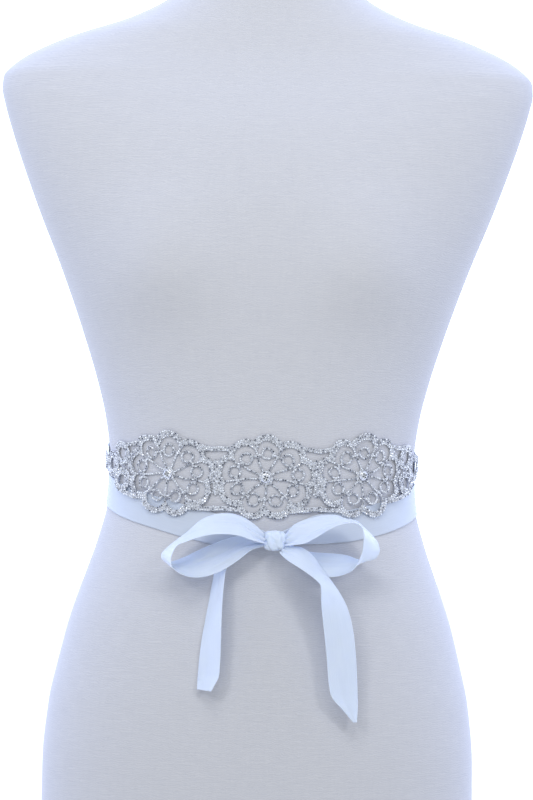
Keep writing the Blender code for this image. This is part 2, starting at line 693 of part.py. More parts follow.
def build_lace():
    """The lace band: one wall with every wide gap cut through and a ridge along each strand."""
    loops = [thinned(loop, 0.32) for loop in outlines(0.5) if abs(area_of(loop)) > SMALLEST_HOLE]
    ridges = ridge_points(4.6)
    depth = strand_distance(ridges[:, 0], ridges[:, 1])
    kept = []
    corners = np.concatenate(loops)
    for p in ridges[(depth < -0.95)]:
        near_edge = np.hypot(*(corners - p).T).min() < 0.9
        near_kept = kept and np.hypot(*(np.array(kept) - p).T).min() < 3.2
        if not near_edge and not near_kept:
            kept.append(p)
    kept = np.array(kept)
    edge_count = sum(len(loop) for loop in loops)
    top_plan, top = filled(loops, kept)
    sparse = []
    for p in kept:
        side = abs(p[0]) > 85.0
        if not sparse or np.hypot(*(np.array(sparse) - p).T).min() > (4.5 if side else 8.0):
            sparse.append(p)
    bottom_plan, bottom = filled(loops, np.array(sparse))
    inward = -strand_distance(top_plan[:, 0], top_plan[:, 1])
    rise = LACE_EDGE + (LACE_RIDGE - LACE_EDGE) * np.clip(inward / 2.0, 0.0, 1.0) ** 0.6
    hubs = unbent([(k * ROSETTE_PITCH, 0.0) for k in (-1, 0, 1)])
    hub = np.min([np.hypot(top_plan[:, 0] - x, top_plan[:, 1] - z) for x, z in hubs], axis=0)
    rise = np.where(hub < 4.2, LACE_EDGE, rise)
    rise[:edge_count] = LACE_EDGE
    upper = lace_points(top_plan, rise)
    lower = lace_points(bottom_plan, np.zeros(len(bottom_plan)))
    points = np.concatenate([upper, lower])
    shift = len(upper)
    faces = []
    for a, b, c in top:
        turn = np.cross(top_plan[b] - top_plan[a], top_plan[c] - top_plan[a])
        faces.append((a, b, c) if turn > 0 else (a, c, b))
    for a, b, c in bottom:
        turn = np.cross(bottom_plan[b] - bottom_plan[a], bottom_plan[c] - bottom_plan[a])
        faces.append((shift + a, shift + c, shift + b) if turn > 0 else (shift + a, shift + b, shift + c))
    sides = {}
    for face in faces[: len(top)]:
        for a, b in zip(face, face[1:] + face[:1]):
            sides[(a, b)] = True
    for a, b in list(sides):
        if (b, a) not in sides:
            faces.append((b, a, shift + a))
            faces.append((b, shift + a, shift + b))
    print("lace:", len(loops) - 1, "holes,", len(faces), "triangles")
    return solid("rhinestone_applique", points, faces, "lace")


def build_crystal(name, k):
    """A cut stone at a rosette's centre: a flat table, a crown, a girdle and a flat back."""
    plan = unbent([(k * ROSETTE_PITCH, 0.0)]) + np.array([[0.0, 0.0], [1.0, 0.0], [0.0, 1.0]])
    seat = lace_points(plan, np.full(3, LACE_EDGE + 0.3))
    right = seat[1] - seat[0]
    right = right / np.linalg.norm(right)
    out = np.cross(right, seat[2] - seat[0])
    out = out / np.linalg.norm(out)
    up = np.cross(out, right)
    # radius share, height share, turn of the ring in steps
    rings = [(0.82, 0.0, 0.0), (1.0, 0.38, 0.0), (1.0, 0.50, 0.0), (0.80, 0.80, 0.5), (0.55, 1.0, 0.0)]
    points = []
    for share, height, turn in rings:
        for i in range(10):
            t = (i + turn) * 2.0 * math.pi / 10.0
            flat = math.cos(t) * right + math.sin(t) * up
            points.append(seat[0] + flat * CRYSTAL_RADIUS * share + out * CRYSTAL_HEIGHT * height)
    faces = [tuple(range(9, -1, -1))]
    for r in range(len(rings) - 1):
        for i in range(10):
            k1 = (i + 1) % 10
            a, b = r * 10 + i, r * 10 + k1
            c, d = (r + 1) * 10 + k1, (r + 1) * 10 + i
            faces.append((a, b, c))
            faces.append((a, c, d))
    top = (len(rings) - 1) * 10
    faces.append(tuple(range(top, top + 10)))
    return solid(name, points, faces, "crystal")


def rib_grid(rows, far_sign, per_row, columns):
    """Middle surface of a loop or tail: straight ribs between the two edges that a table gives."""
    table = np.array(rows, float)
    shown = np.hypot(table[:, 2] - table[:, 0], table[:, 3] - table[:, 1])
    behind = far_sign * np.sqrt(np.maximum(table[:, 5] ** 2 - shown**2, 0.0))
    near = np.stack([table[:, 0], table[:, 4] - behind / 2.0, table[:, 1]], axis=-1)
    far = np.stack([table[:, 2], table[:, 4] + behind / 2.0, table[:, 3]], axis=-1)
    step = np.linalg.norm(np.diff((near + far) / 2.0, axis=0), axis=1)
    turn = np.linalg.norm(np.diff(far - near, axis=0), axis=1)
    place = np.concatenate([[0.0], np.cumsum(step + 0.35 * turn)])
    packed = np.concatenate([place[:, None], near, far], axis=1)
    at = np.linspace(0.0, place[-1], per_row)
    both = spline(packed, at)
    share = np.linspace(0.0, 1.0, columns)[None, :, None]
    return both[:, None, :3] * (1.0 - share) + both[:, None, 3:] * share


def spline(table, at):
    """Smooth values between rows, with slopes from each row's neighbours. The first column is the position."""
    x = table[:, 0]
    y = table[:, 1:]
    tangent = np.gradient(y, x, axis=0)
    k = np.clip(np.searchsorted(x, at, side="right") - 1, 0, len(x) - 2)
    step = (x[k + 1] - x[k])[:, None]
    u = ((at - x[k]) / (x[k + 1] - x[k]))[:, None]
    value = (2 * u**3 - 3 * u**2 + 1) * y[k] + (u**3 - 2 * u**2 + u) * step * tangent[k]
    return value + (3 * u**2 - 2 * u**3) * y[k + 1] + (u**3 - u**2) * step * tangent[k + 1]


def grid_normals(grid):
    along = np.gradient(grid, axis=0)
    across = np.gradient(grid, axis=1)
    normal = np.cross(along, across)
    return normal / np.linalg.norm(normal, axis=-1, keepdims=True)


def build_band(name, rows, far_sign, count):
    """A loop or tail of ribbon: the ribs' surface, half a cloth's thickness to each side."""
    grid = rib_grid(rows, far_sign, count, 4)
    normal = grid_normals(grid)
    return closed_sheet(name, grid + normal * CLOTH / 2.0, grid - normal * CLOTH / 2.0, "satin")


def build_knot():
    """The wrap of ribbon at the bow's middle: a rounded block with slanting pleats."""
    points = []
    rows, columns = 11, 22
    for i in range(1, rows - 1):
        lift = -math.pi / 2.0 + math.pi * i / (rows - 1)
        for j in range(columns):
            turn = 2.0 * math.pi * j / columns
            direction = (
                math.cos(lift) * math.sin(turn),
                -math.cos(lift) * math.cos(turn),
                math.sin(lift),
            )
            size = sum(abs(c / h) ** 3.4 for c, h in zip(direction, KNOT_HALF)) ** (-1.0 / 3.4)
            pleat = 0.35 * math.sin(5.0 * turn + 2.4 * lift) * math.cos(lift) ** 2
            pleat = pleat * max(math.cos(turn), 0.0)
            points.append([c + (size + pleat) * d for c, d in zip(KNOT_CENTRE, direction)])
    points.append([KNOT_CENTRE[0], KNOT_CENTRE[1], KNOT_CENTRE[2] - KNOT_HALF[2]])
    points.append([KNOT_CENTRE[0], KNOT_CENTRE[1], KNOT_CENTRE[2] + KNOT_HALF[2]])
    faces = []
    inner = rows - 2
    for i in range(inner - 1):
        for j in range(columns):
            k = (j + 1) % columns
            a, b = i * columns + j, i * columns + k
            c, d = (i + 1) * columns + k, (i + 1) * columns + j
            faces.append((a, b, c, d))
    top = (inner - 1) * columns
    for j in range(columns):
        k = (j + 1) % columns
        faces.append((inner * columns, k, j))
        faces.append((inner * columns + 1, top + j, top + k))
    return solid("bow_knot", points, faces, "satin")


def main():
    for old in list(bpy.data.objects):
        bpy.data.objects.remove(old)
    build_form()
    build_ribbon("ribbon_over", full_rows(OVER_START, OVER_END, -1), CROSSING_LIFT)
    build_ribbon("ribbon_under", full_rows(UNDER_START, UNDER_END, 1), CROSSING_LIFT)
    build_lace()
    for k, side in ((-1, "left"), (0, "centre"), (1, "right")):
        build_crystal("crystal_" + side, k)
    build_band("bow_loop_left", LEFT_LOOP, 1.0, 44)
    build_band("bow_loop_right", RIGHT_LOOP, 1.0, 48)
    build_band("bow_tail_left", LEFT_TAIL, 1.0, 20)
    build_band("bow_tail_right", RIGHT_TAIL, 1.0, 26)
    build_knot()


if __name__ == "__main__":
    main()
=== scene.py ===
# A bridal rhinestone belt, worn by a limbless dress form and tied in a bow at the front.
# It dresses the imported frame: jersey on the form, satin on the ribbon, cut stones on the lace.
# Lengths are in millimetres until a mesh is made. +Z is up and the front is -Y.

import math

import bpy
import numpy as np
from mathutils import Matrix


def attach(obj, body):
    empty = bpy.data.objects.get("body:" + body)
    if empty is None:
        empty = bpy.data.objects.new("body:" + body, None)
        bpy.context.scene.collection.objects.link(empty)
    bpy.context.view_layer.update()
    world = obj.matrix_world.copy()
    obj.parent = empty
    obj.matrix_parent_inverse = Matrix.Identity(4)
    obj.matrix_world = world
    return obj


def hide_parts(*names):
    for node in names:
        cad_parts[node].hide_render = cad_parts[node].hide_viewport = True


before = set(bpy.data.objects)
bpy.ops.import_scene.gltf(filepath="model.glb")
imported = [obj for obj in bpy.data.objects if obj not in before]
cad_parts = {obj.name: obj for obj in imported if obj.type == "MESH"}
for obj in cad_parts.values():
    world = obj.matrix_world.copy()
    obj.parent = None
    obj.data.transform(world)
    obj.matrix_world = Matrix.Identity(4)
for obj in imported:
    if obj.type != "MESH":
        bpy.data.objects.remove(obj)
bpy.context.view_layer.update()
scene = bpy.context.scene
scene.view_settings.view_transform = "Standard"  # whites stay white, as in a catalogue picture
print("frame loaded:", ", ".join(sorted(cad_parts)))


# Small helpers

def toLinear(hexText):
    # each sRGB channel c becomes ((c + 0.055) / 1.055) ^ 2.4, or c / 12.92 where it is very dark
    c = np.array([int(hexText[i:i + 2], 16) for i in (1, 3, 5)]) / 255.0
    c = np.where(c > 0.04045, ((c + 0.055) / 1.055) ** 2.4, c / 12.92)
    return (float(c[0]), float(c[1]), float(c[2]), 1.0)


def addNode(tree, kind, settings=None, inputs=None):
    # a shader node with its settings; an input that is a socket is linked, any other is a value
    node = tree.nodes.new(kind)
    for name, value in (settings or {}).items():
        setattr(node, name, value)
    for name, value in (inputs or {}).items():
        if isinstance(value, bpy.types.NodeSocket):
            tree.links.new(value, node.inputs[name])
        else:
            node.inputs[name].default_value = value
    return node


def newMaterial(name, shaderInputs):
    # a principled material with these inputs
    material = bpy.data.materials.new(name)
    material.use_nodes = True
    shader = material.node_tree.nodes["Principled BSDF"]
    for key, value in shaderInputs.items():
        shader.inputs[key].default_value = value
    return material, material.node_tree, shader


def colourBetween(tree, shader, share, darker, lighter):
    # the base colour runs from the darker to the lighter by a share from 0 to 1
    colour = addNode(tree, "ShaderNodeMix", {"data_type": "RGBA"}, {
        "Factor": share, "A": toLinear(darker), "B": toLinear(lighter),
    })
    tree.links.new(colour.outputs["Result"], shader.inputs["Base Color"])


def bumpFrom(tree, shader, height, strength, distance):
    # small relief from a height, at most distance metres deep
    bump = addNode(tree, "ShaderNodeBump", {}, {"Height": height, "Strength": strength, "Distance": distance})
    tree.links.new(bump.outputs["Normal"], shader.inputs["Normal"])


def clothNoise(tree, place, scale, detail):
    # noise drawn out along or across the cloth, by its bumps a metre each way
    drawn = addNode(tree, "ShaderNodeMapping", {}, {"Vector": place.outputs["UV"], "Scale": scale})
    noise = addNode(tree, "ShaderNodeTexNoise", {}, {"Vector": drawn.outputs["Vector"], "Scale": 1.0, "Detail": detail})
    return noise.outputs["Fac"]


def addHeight(tree, fine, share, coarse):
    # a share of one height on top of another
    return addNode(tree, "ShaderNodeMath", {"operation": "MULTIPLY_ADD"}, {0: fine, 1: share, 2: coarse}).outputs[0]


def unit(vectors):
    # the same directions, each of length 1
    return vectors / np.linalg.norm(vectors, axis=-1, keepdims=True)


def gridFaces(rows, columns, wrap=False):
    # quads between neighbouring rows and columns of a grid of points; on a tube the last column joins the first
    i, j = np.meshgrid(np.arange(rows - 1), np.arange(columns if wrap else columns - 1), indexing="ij")
    k = (j + 1) % columns
    quads = np.stack([i * columns + j, i * columns + k, (i + 1) * columns + k, (i + 1) * columns + j], axis=-1)
    return quads.reshape(-1, 4)


def closedFaces(rows, columns):
    # rings one above another, closed by a fan to a point at each end; the two points come after the rings
    j = np.arange(columns)
    top = (rows - 1) * columns
    low = np.stack([np.full(columns, rows * columns), (j + 1) % columns, j], axis=-1)
    high = np.stack([np.full(columns, rows * columns + 1), top + j, top + (j + 1) % columns], axis=-1)
    return [gridFaces(rows, columns, wrap=True), low, high]


def makePiece(name, points, faces, materials, uv=None, slots=None, smooth=True, paintedReflection=None):
    # one mesh from points in millimetres and a list of face arrays, turned to face outwards
    faces = [np.asarray(f, dtype=np.int64) for f in faces if len(f)]
    volume = 0.0
    for f in faces:
        a = points[f[:, 0]]
        for k in range(1, f.shape[1] - 1):
            volume += float(np.einsum("ij,ij->", a, np.cross(points[f[:, k]], points[f[:, k + 1]])))
    if volume < 0:
        faces = [f[:, ::-1] for f in faces]
    corners = np.concatenate([f.ravel() for f in faces]).astype(np.int32)
    sizes = np.concatenate([np.full(len(f), f.shape[1]) for f in faces])
    mesh = bpy.data.meshes.new(name)
    mesh.vertices.add(len(points))
    mesh.vertices.foreach_set("co", (points * 0.001).astype(np.float32).ravel())
    mesh.loops.add(len(corners))
    mesh.loops.foreach_set("vertex_index", corners)
    mesh.polygons.add(len(sizes))
    mesh.polygons.foreach_set("loop_start", np.concatenate([[0], np.cumsum(sizes)[:-1]]).astype(np.int32))
    mesh.polygons.foreach_set("use_smooth", np.full(len(sizes), smooth))
    for material in materials:
        mesh.materials.append(material)
    if slots is not None:
        mesh.polygons.foreach_set("material_index", np.asarray(slots, dtype=np.int32))
    mesh.update(calc_edges=True)
    if uv is not None:
        layer = mesh.uv_layers.new(name="cloth")
        layer.data.foreach_set("uv", (uv[corners] * 0.001).astype(np.float32).ravel())
    if paintedReflection is not None:
        layer = mesh.attributes.new("paintedReflection", "FLOAT", "FACE")
        layer.data.foreach_set("value", paintedReflection.astype(np.float32))
    piece = bpy.data.objects.new(name, mesh)
    scene.collection.objects.link(piece)
    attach(piece, "root")
    return piece


def betweenRows(x, y, tangent, at):
    # a cubic from each place x to the next that has the rows' values y and slopes there
    k = np.clip(np.searchsorted(x, at, side="right") - 1, 0, len(x) - 2)
    step = (x[k + 1] - x[k])[..., None]
    u = (at - x[k])[..., None] / step
    value = (2 * u**3 - 3 * u**2 + 1) * y[k] + (u**3 - 2 * u**2 + u) * step * tangent[k]
    return value + (3 * u**2 - 2 * u**3) * y[k + 1] + (u**3 - u**2) * step * tangent[k + 1]


def easeRows(rows, at):
    # values between a table's rows by a cubic that never passes beyond them; its first column is the place
    table = np.array(sorted(rows), float)
    x, y = table[:, 0], table[:, 1:]
    slope = np.diff(y, axis=0) / np.diff(x)[:, None]
    sameWay = slope[:-1] * slope[1:] > 0
    total = np.where(sameWay, slope[:-1] + slope[1:], 1.0)
    tangent = np.concatenate([slope[:1], np.where(sameWay, 2.0 * slope[:-1] * slope[1:] / total, 0.0), slope[-1:]])
    return betweenRows(x, y, tangent, np.clip(np.asarray(at, float), x[0], x[-1]))


def smoothNoise(x, y, seed, size):
    # a sum of five slow waves in turned directions, mostly from -1 to 1, with bumps about one size across
    turns = np.random.default_rng(seed).uniform(0.0, 2.0 * math.pi, (5, 2))
    waves = [np.sin((x * math.cos(a) + y * math.sin(a)) * 2.0 * math.pi / (size * (0.8 + 0.23 * k)) + b)
             for k, (a, b) in enumerate(turns)]
    return sum(waves) / 3.2


# Camera: 2.2 m in front and a little above the belt, looking level, rolled so that the form leans as in the picture
cameraPlace = {"x": 2.9, "y": -2200.0, "z": 344.0, "lean": 0.0157, "lens": 123.75}

cameraData = bpy.data.cameras.new("camera")
cameraData.lens = cameraPlace["lens"]
cameraData.sensor_width = 36.0
cameraData.clip_start = 0.05
camera = bpy.data.objects.new("camera", cameraData)
camera.location = (cameraPlace["x"] * 0.001, cameraPlace["y"] * 0.001, cameraPlace["z"] * 0.001)
camera.rotation_mode = "XYZ"
camera.rotation_euler = (math.pi / 2.0, -cameraPlace["lean"], 0.0)
scene.collection.objects.link(camera)
scene.camera = camera


# Materials

jerseyLook = {"courses": 0.0014, "wander": 14.0, "slubs": (90.0, 640.0, 1.0), "wales": (520.0, 60.0, 1.0),
              "darker": "#C2C5CE", "lighter": "#D1D3D9", "relief": 0.00025}


def jerseyMaterial():
    # cotton jersey stretched over a moulded form: matt, softly fuzzy, with uneven knitted courses across it.
    # Real courses are 0.5 mm apart; they are drawn 1.4 mm apart so that they show. A wave's bands are
    # 0.314 / scale apart
    look = jerseyLook
    made, tree, shader = newMaterial("whiteCottonJersey", {
        "Roughness": 0.88, "Specular IOR Level": 0.25, "Sheen Weight": 0.25, "Sheen Roughness": 0.5,
    })
    place = addNode(tree, "ShaderNodeUVMap", {"uv_map": "cloth"})
    courses = addNode(tree, "ShaderNodeTexWave", {"bands_direction": "Y"}, {
        "Vector": place.outputs["UV"], "Scale": 0.314 / look["courses"], "Distortion": look["wander"],
        "Detail": 4.0, "Detail Scale": 0.8,
    })
    height = addHeight(tree, clothNoise(tree, place, look["slubs"], 3.0), 1.6, courses.outputs["Fac"])
    height = addHeight(tree, clothNoise(tree, place, look["wales"], 2.0), 0.7, height)
    shade = addNode(tree, "ShaderNodeMapRange", {}, {"Value": height, "From Min": 0.7, "From Max": 2.6})
    colourBetween(tree, shader, shade.outputs["Result"], look["darker"], look["lighter"])
    bumpFrom(tree, shader, height, 0.22, look["relief"])
    return made


satinLook = {"floats": (45.0, 2400.0, 1.0), "picks": (1500.0, 180.0, 1.0), "relief": 0.00006}


def satinMaterial(name, lightThrough, darker, lighter):
    # polyester satin ribbon: long floats along its length, so it is smooth and softly glossy with fine streaks, and
    # where it hangs free some light comes through it. Real floats are 0.1 mm apart; the streaks are drawn 0.4 mm apart
    made, tree, shader = newMaterial(name, {
        "Roughness": 0.42, "Specular IOR Level": 0.5, "Sheen Weight": 0.15, "Sheen Roughness": 0.35,
        "Subsurface Weight": lightThrough, "Subsurface Radius": (1.0, 1.0, 1.15), "Subsurface Scale": 0.0009,
    })
    place = addNode(tree, "ShaderNodeUVMap", {"uv_map": "cloth"})
    floats = clothNoise(tree, place, satinLook["floats"], 2.0)
    height = addHeight(tree, clothNoise(tree, place, satinLook["picks"], 1.0), 0.5, floats)
    colourBetween(tree, shader, floats, darker, lighter)
    bumpFrom(tree, shader, height, 0.18, satinLook["relief"])
    return made


def stoneMaterial():
    # foil-backed cut glass: every facet is a small mirror, and the part of the room it would show, dark or bright, is
    # painted into its colour as a painted reflection, each facet its own shade of cool grey under a clear gloss
    made, tree, shader = newMaterial("foiledCutGlass", {
        "Metallic": 0.15, "Roughness": 0.15, "Coat Weight": 1.0, "Coat Roughness": 0.02,
    })
    paintedReflection = addNode(tree, "ShaderNodeAttribute", {"attribute_name": "paintedReflection"})
    colourBetween(tree, shader, paintedReflection.outputs["Fac"], "#1A2436", "#F7FCFF")
    return made


def cupMaterial():
    # silver-plated brass cups, pressed and polished
    made, tree, shader = newMaterial("silverPlatedBrass", {"Metallic": 0.8, "Roughness": 0.35})
    place = addNode(tree, "ShaderNodeTexCoord")
    wear = addNode(tree, "ShaderNodeTexNoise", {}, {"Vector": place.outputs["Object"], "Scale": 900.0})
    colourBetween(tree, shader, wear.outputs["Fac"], "#C9CDD6", "#F0F1F4")
    return made


def netMaterial():
    # white net stiffened with clear glue: pale, slightly shiny, uneven where the glue has run
    made, tree, shader = newMaterial("gluedNet", {"Roughness": 0.4, "Specular IOR Level": 0.5})
    place = addNode(tree, "ShaderNodeTexCoord")
    runs = addNode(tree, "ShaderNodeTexNoise", {}, {"Vector": place.outputs["Object"], "Scale": 420.0, "Detail": 3.0})
    colourBetween(tree, shader, runs.outputs["Fac"], "#9AA1B0", "#E6E9EE")
    bumpFrom(tree, shader, runs.outputs["Fac"], 0.5, 0.0003)
    return made


jersey = jerseyMaterial()
satin = satinMaterial("whitePolyesterSatin", 0.85, "#CBD6EA", "#D8E2F3")
# the knot's copy of the ribbon: its colour is painted lighter than on the loops and tails, painted light where the knot
# sits in shade
satinKnotPaintedLighter = satinMaterial("whitePolyesterSatinGatheredPaintedLighter", 0.6, "#D2DFF7", "#DEEAFC")
# the copy laid on the jersey: its colour is painted darker than on the loops and tails, painted shade against the sheen
# it catches, and no light comes through it
satinLaidPaintedDarker = satinMaterial("whitePolyesterSatinOnJerseyPaintedDarker", 0.0, "#C0CBDC", "#CDD6E3")
stoneGlass = stoneMaterial()
cupSilver = cupMaterial()
net = netMaterial()
print("materials made")


# Dress form. Sections from the base up: height, half width, front depth, back depth, squareness
formShape = {
    "height": 742.0, "baseRounding": 16.0, "neckRounding": 12.0,
    "bustRise": 13.0, "bustX": 82.0, "bustZ": 446.0, "bustWide": 44.0, "bustTall": 46.0,
    "around": 288, "upward": 200,
    "sections": [
        (0, 172, 97, 121, 2.3), (56, 171.5, 97, 123, 2.3), (104, 167, 96.5, 125, 2.25), (136, 160, 95.5, 125, 2.2),
        (168, 151.8, 93.5, 121, 2.15), (200, 141, 91, 112, 2.1), (232, 130, 88.2, 101, 2.05),
        (262, 122.6, 86.6, 92.5, 2), (285, 121.3, 86, 90.5, 2), (302, 121.8, 86, 90.5, 2),
        (328, 125.2, 86.8, 92.5, 2.03), (360, 133, 89, 97, 2.07), (392, 143, 92.5, 102, 2.12),
        (424, 154, 96, 106, 2.18), (456, 166, 97.5, 109, 2.25), (488, 179, 96, 111, 2.3), (520, 191, 91, 110.5, 2.35),
        (552, 202, 83, 107, 2.4), (578, 209.6, 73.5, 101, 2.4), (590, 212, 68.5, 97.5, 2.35),
        (600, 211, 64.5, 94, 2.3), (607, 205, 62, 91, 2.2), (616, 193, 59, 87, 2.1), (632, 158.4, 55, 79, 2),
        (648, 110, 51.5, 71, 2), (664, 79.4, 49, 64, 2), (678, 66, 48.5, 59, 2), (694, 60, 49.5, 55.5, 2),
        (714, 57.5, 51, 53.5, 2), (742, 57, 51.5, 53, 2),
    ],
}


def formSurface(angle, z):
    # each section is a superellipse, (|sin| / half width)^n + (|cos| / depth)^n = r^-n, rounded in at base and neck,
    # with two soft mounds on the front for the bust
    f = formShape
    angle, z = np.broadcast_arrays(np.asarray(angle, float), np.asarray(z, float))
    half, front, back, square = np.moveaxis(easeRows(f["sections"], z), -1, 0)
    low = f["baseRounding"] - np.clip(z, 0.0, f["baseRounding"])
    high = f["neckRounding"] - np.clip(f["height"] - z, 0.0, f["neckRounding"])
    inset = f["baseRounding"] - np.sqrt(f["baseRounding"] ** 2 - low**2)
    inset = inset + f["neckRounding"] - np.sqrt(f["neckRounding"] ** 2 - high**2)
    depth = np.where(np.cos(angle) > 0, front, back) - inset
    reach = (np.abs(np.sin(angle)) / (half - inset)) ** square + (np.abs(np.cos(angle)) / depth) ** square
    r = reach ** (-1.0 / square)
    x, y = r * np.sin(angle), -r * np.cos(angle)
    facing = np.clip(np.cos(angle) * 2.5, 0.0, 1.0)
    facing = facing * facing * (3.0 - 2.0 * facing)
    across = (np.abs(x) - f["bustX"]) / f["bustWide"]
    up = (z - f["bustZ"]) / np.where(z < f["bustZ"], f["bustTall"] * 0.85, f["bustTall"] * 1.25)
    y = y - f["bustRise"] * facing * np.exp(-across * across - up * up)
    return np.stack([x, y, z], axis=-1)


# Girth at the belt, in small steps round the form
turnsRound = np.linspace(-math.pi, math.pi, 4001)
waistRing = formSurface(turnsRound, 285.0)
arcRound = np.concatenate([[0.0], np.cumsum(np.linalg.norm(np.diff(waistRing, axis=0), axis=1))])
girth = float(arcRound[-1])
arcRound = arcRound - girth / 2.0


def angleAt(arc):
    # the turn round the form at an arc from the centre front, measured at the belt
    return np.interp((np.asarray(arc, float) + girth / 2.0) % girth - girth / 2.0, arcRound, turnsRound)


def onForm(arc, z, out):
    # the point of the form at that arc and height, moved out along the surface's normal
    arc, z, out = np.broadcast_arrays(np.asarray(arc, float), np.asarray(z, float), np.asarray(out, float))
    aside = formSurface(angleAt(arc + 1.0), z) - formSurface(angleAt(arc - 1.0), z)
    above = formSurface(angleAt(arc), z + 1.0) - formSurface(angleAt(arc), z - 1.0)
    return formSurface(angleAt(arc), z) + unit(np.cross(aside, above)) * out[..., None]


def dressForm():
    # rings of the section table, closer together at the rounded base and neck, closed by a point at each end
    f = formShape
    rounding = 1.0 - np.cos(np.linspace(0.0, math.pi / 2.0, 9)[:-1])
    between = np.linspace(f["baseRounding"], f["height"] - f["neckRounding"], f["upward"])
    heights = np.concatenate([f["baseRounding"] * rounding, between, f["height"] - f["neckRounding"] * rounding[::-1]])
    arcs = girth * np.arange(f["around"]) / f["around"] - girth / 2.0
    rings = formSurface(angleAt(arcs)[None, :], heights[:, None])
    rows, columns = rings.shape[:2]
    points = np.concatenate([rings.reshape(-1, 3), [[0.0, 0.0, 0.0], [0.0, 0.0, f["height"]]]])
    around = np.concatenate([np.tile(np.abs(arcs), rows), [0.0, 0.0]])
    up = np.concatenate([np.repeat(heights, columns), [0.0, f["height"]]])
    piece = makePiece("jerseyForm", points, closedFaces(rows, columns), [jersey], uv=np.stack([around, up], axis=-1))
    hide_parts("dress_form")


dressForm()
print("dress form made")


# Ribbon round the waist. Rows run from the lace's end to the knot: arc, height, width, share of the lift under it
waistRibbon = {
    "width": 24.0, "thick": 0.42, "skinGap": 0.62, "clothRoom": 0.5, "lift": 0.95, "backHeight": 287.0,
    "stepAlong": 1.6, "across": 15, "selvedge": 0.10, "pleatDepth": 1.15, "pleatCount": 2.6, "gatherReach": 60.0,
    "ripple": 0.10, "rippleLength": 46.0, "smallRipple": 0.07, "smallRippleLength": 17.0,
    "overStart": [
        (-153, 298.5, 12, 0), (-166, 299, 17, 0), (-184, 298.3, 22, 1), (-200, 297, 24, 1),
    ],
    "overEnd": [
        (200, 271.5, 24, 1), (190, 270.2, 24, 0.9), (172, 268, 24, 0), (145, 264.3, 24, 0),
        (118, 258, 24, 0), (95, 252.6, 24, 0), (68, 247.6, 24, 0), (46, 245.2, 23, 0.2),
        (31, 241.6, 17, 0.6), (17.2, 237.6, 11, 1),
    ],
    "underStart": [
        (153, 294, 12, 0), (165, 295, 17, 0), (180, 295, 22, 0), (200, 294, 24, 0),
    ],
    "underEnd": [
        (-200, 278.5, 24, 0), (-180, 276.3, 24, 0), (-165, 273.8, 24, 0), (-140, 268, 24, 0),
        (-110, 261, 24, 0), (-85, 255.7, 24, 0), (-52, 248, 24, 0), (-30, 243.2, 23, 0.2),
        (-12, 240, 17, 0.5), (4.5, 236.7, 11, 1),
    ],
}


# A ribbon's long edge, as distances in from it: it thins at the rim, and the bead of its selvedge lies further in
ribbonEdge = {"thinned": 0.55, "rimReach": 0.18, "beadPlace": 0.55, "beadReach": 0.32, "crowding": 0.115}


def clothNormals(middle):
    # at each point, across the directions to its neighbours along and across the cloth
    return unit(np.cross(np.gradient(middle, axis=0), np.gradient(middle, axis=1)))


def clothWall(name, middle, thick, selvedge, across, along, material):
    # a thin closed shell: half a thickness to each side of the middle surface, rounded off at its edges by
    # exp(-distance^2), with the narrow woven bead of its selvedge
    e = ribbonEdge
    rows, columns = middle.shape[:2]
    normal = clothNormals(middle)
    fromEdge = np.minimum(across, across.max(axis=1, keepdims=True) - across)
    half = thick / 2.0 * (1.0 - e["thinned"] * np.exp(-((fromEdge / e["rimReach"]) ** 2)))
    half = half + selvedge * np.exp(-(((fromEdge - e["beadPlace"]) / e["beadReach"]) ** 2))
    outer = middle + normal * half[..., None]
    inner = middle - normal * half[..., None]
    ring = np.concatenate([outer, inner[:, ::-1]], axis=1)
    uv = np.stack([np.concatenate([v, v[:, ::-1]], axis=1) for v in (along, across)], axis=-1)
    j = np.arange(columns - 1)
    first = np.stack([j, 2 * columns - 1 - j, 2 * columns - 2 - j, j + 1], axis=-1)
    last = np.stack([j, j + 1, 2 * columns - 2 - j, 2 * columns - 1 - j], axis=-1) + (rows - 1) * 2 * columns
    faces = np.concatenate([gridFaces(rows, 2 * columns, wrap=True), first, last])
    return makePiece(name, ring.reshape(-1, 3), [faces], [material], uv=uv.reshape(-1, 2))


def acrossShares(columns):
    # shares from 0 to 1 across a ribbon, closer together at its two edges
    t = np.linspace(0.0, 1.0, columns)
    return t - ribbonEdge["crowding"] * np.sin(2.0 * math.pi * t)


def clothLengths(middle):
    # distance along and across the cloth at every point of its middle surface
    along = np.linalg.norm(np.diff(middle, axis=0), axis=-1)
    across = np.linalg.norm(np.diff(middle, axis=1), axis=-1)
    along = np.concatenate([np.zeros((1, middle.shape[1])), np.cumsum(along, axis=0)])
    across = np.concatenate([np.zeros((middle.shape[0], 1)), np.cumsum(across, axis=1)], axis=1)
    return np.broadcast_to(along.mean(axis=1, keepdims=True), along.shape), across


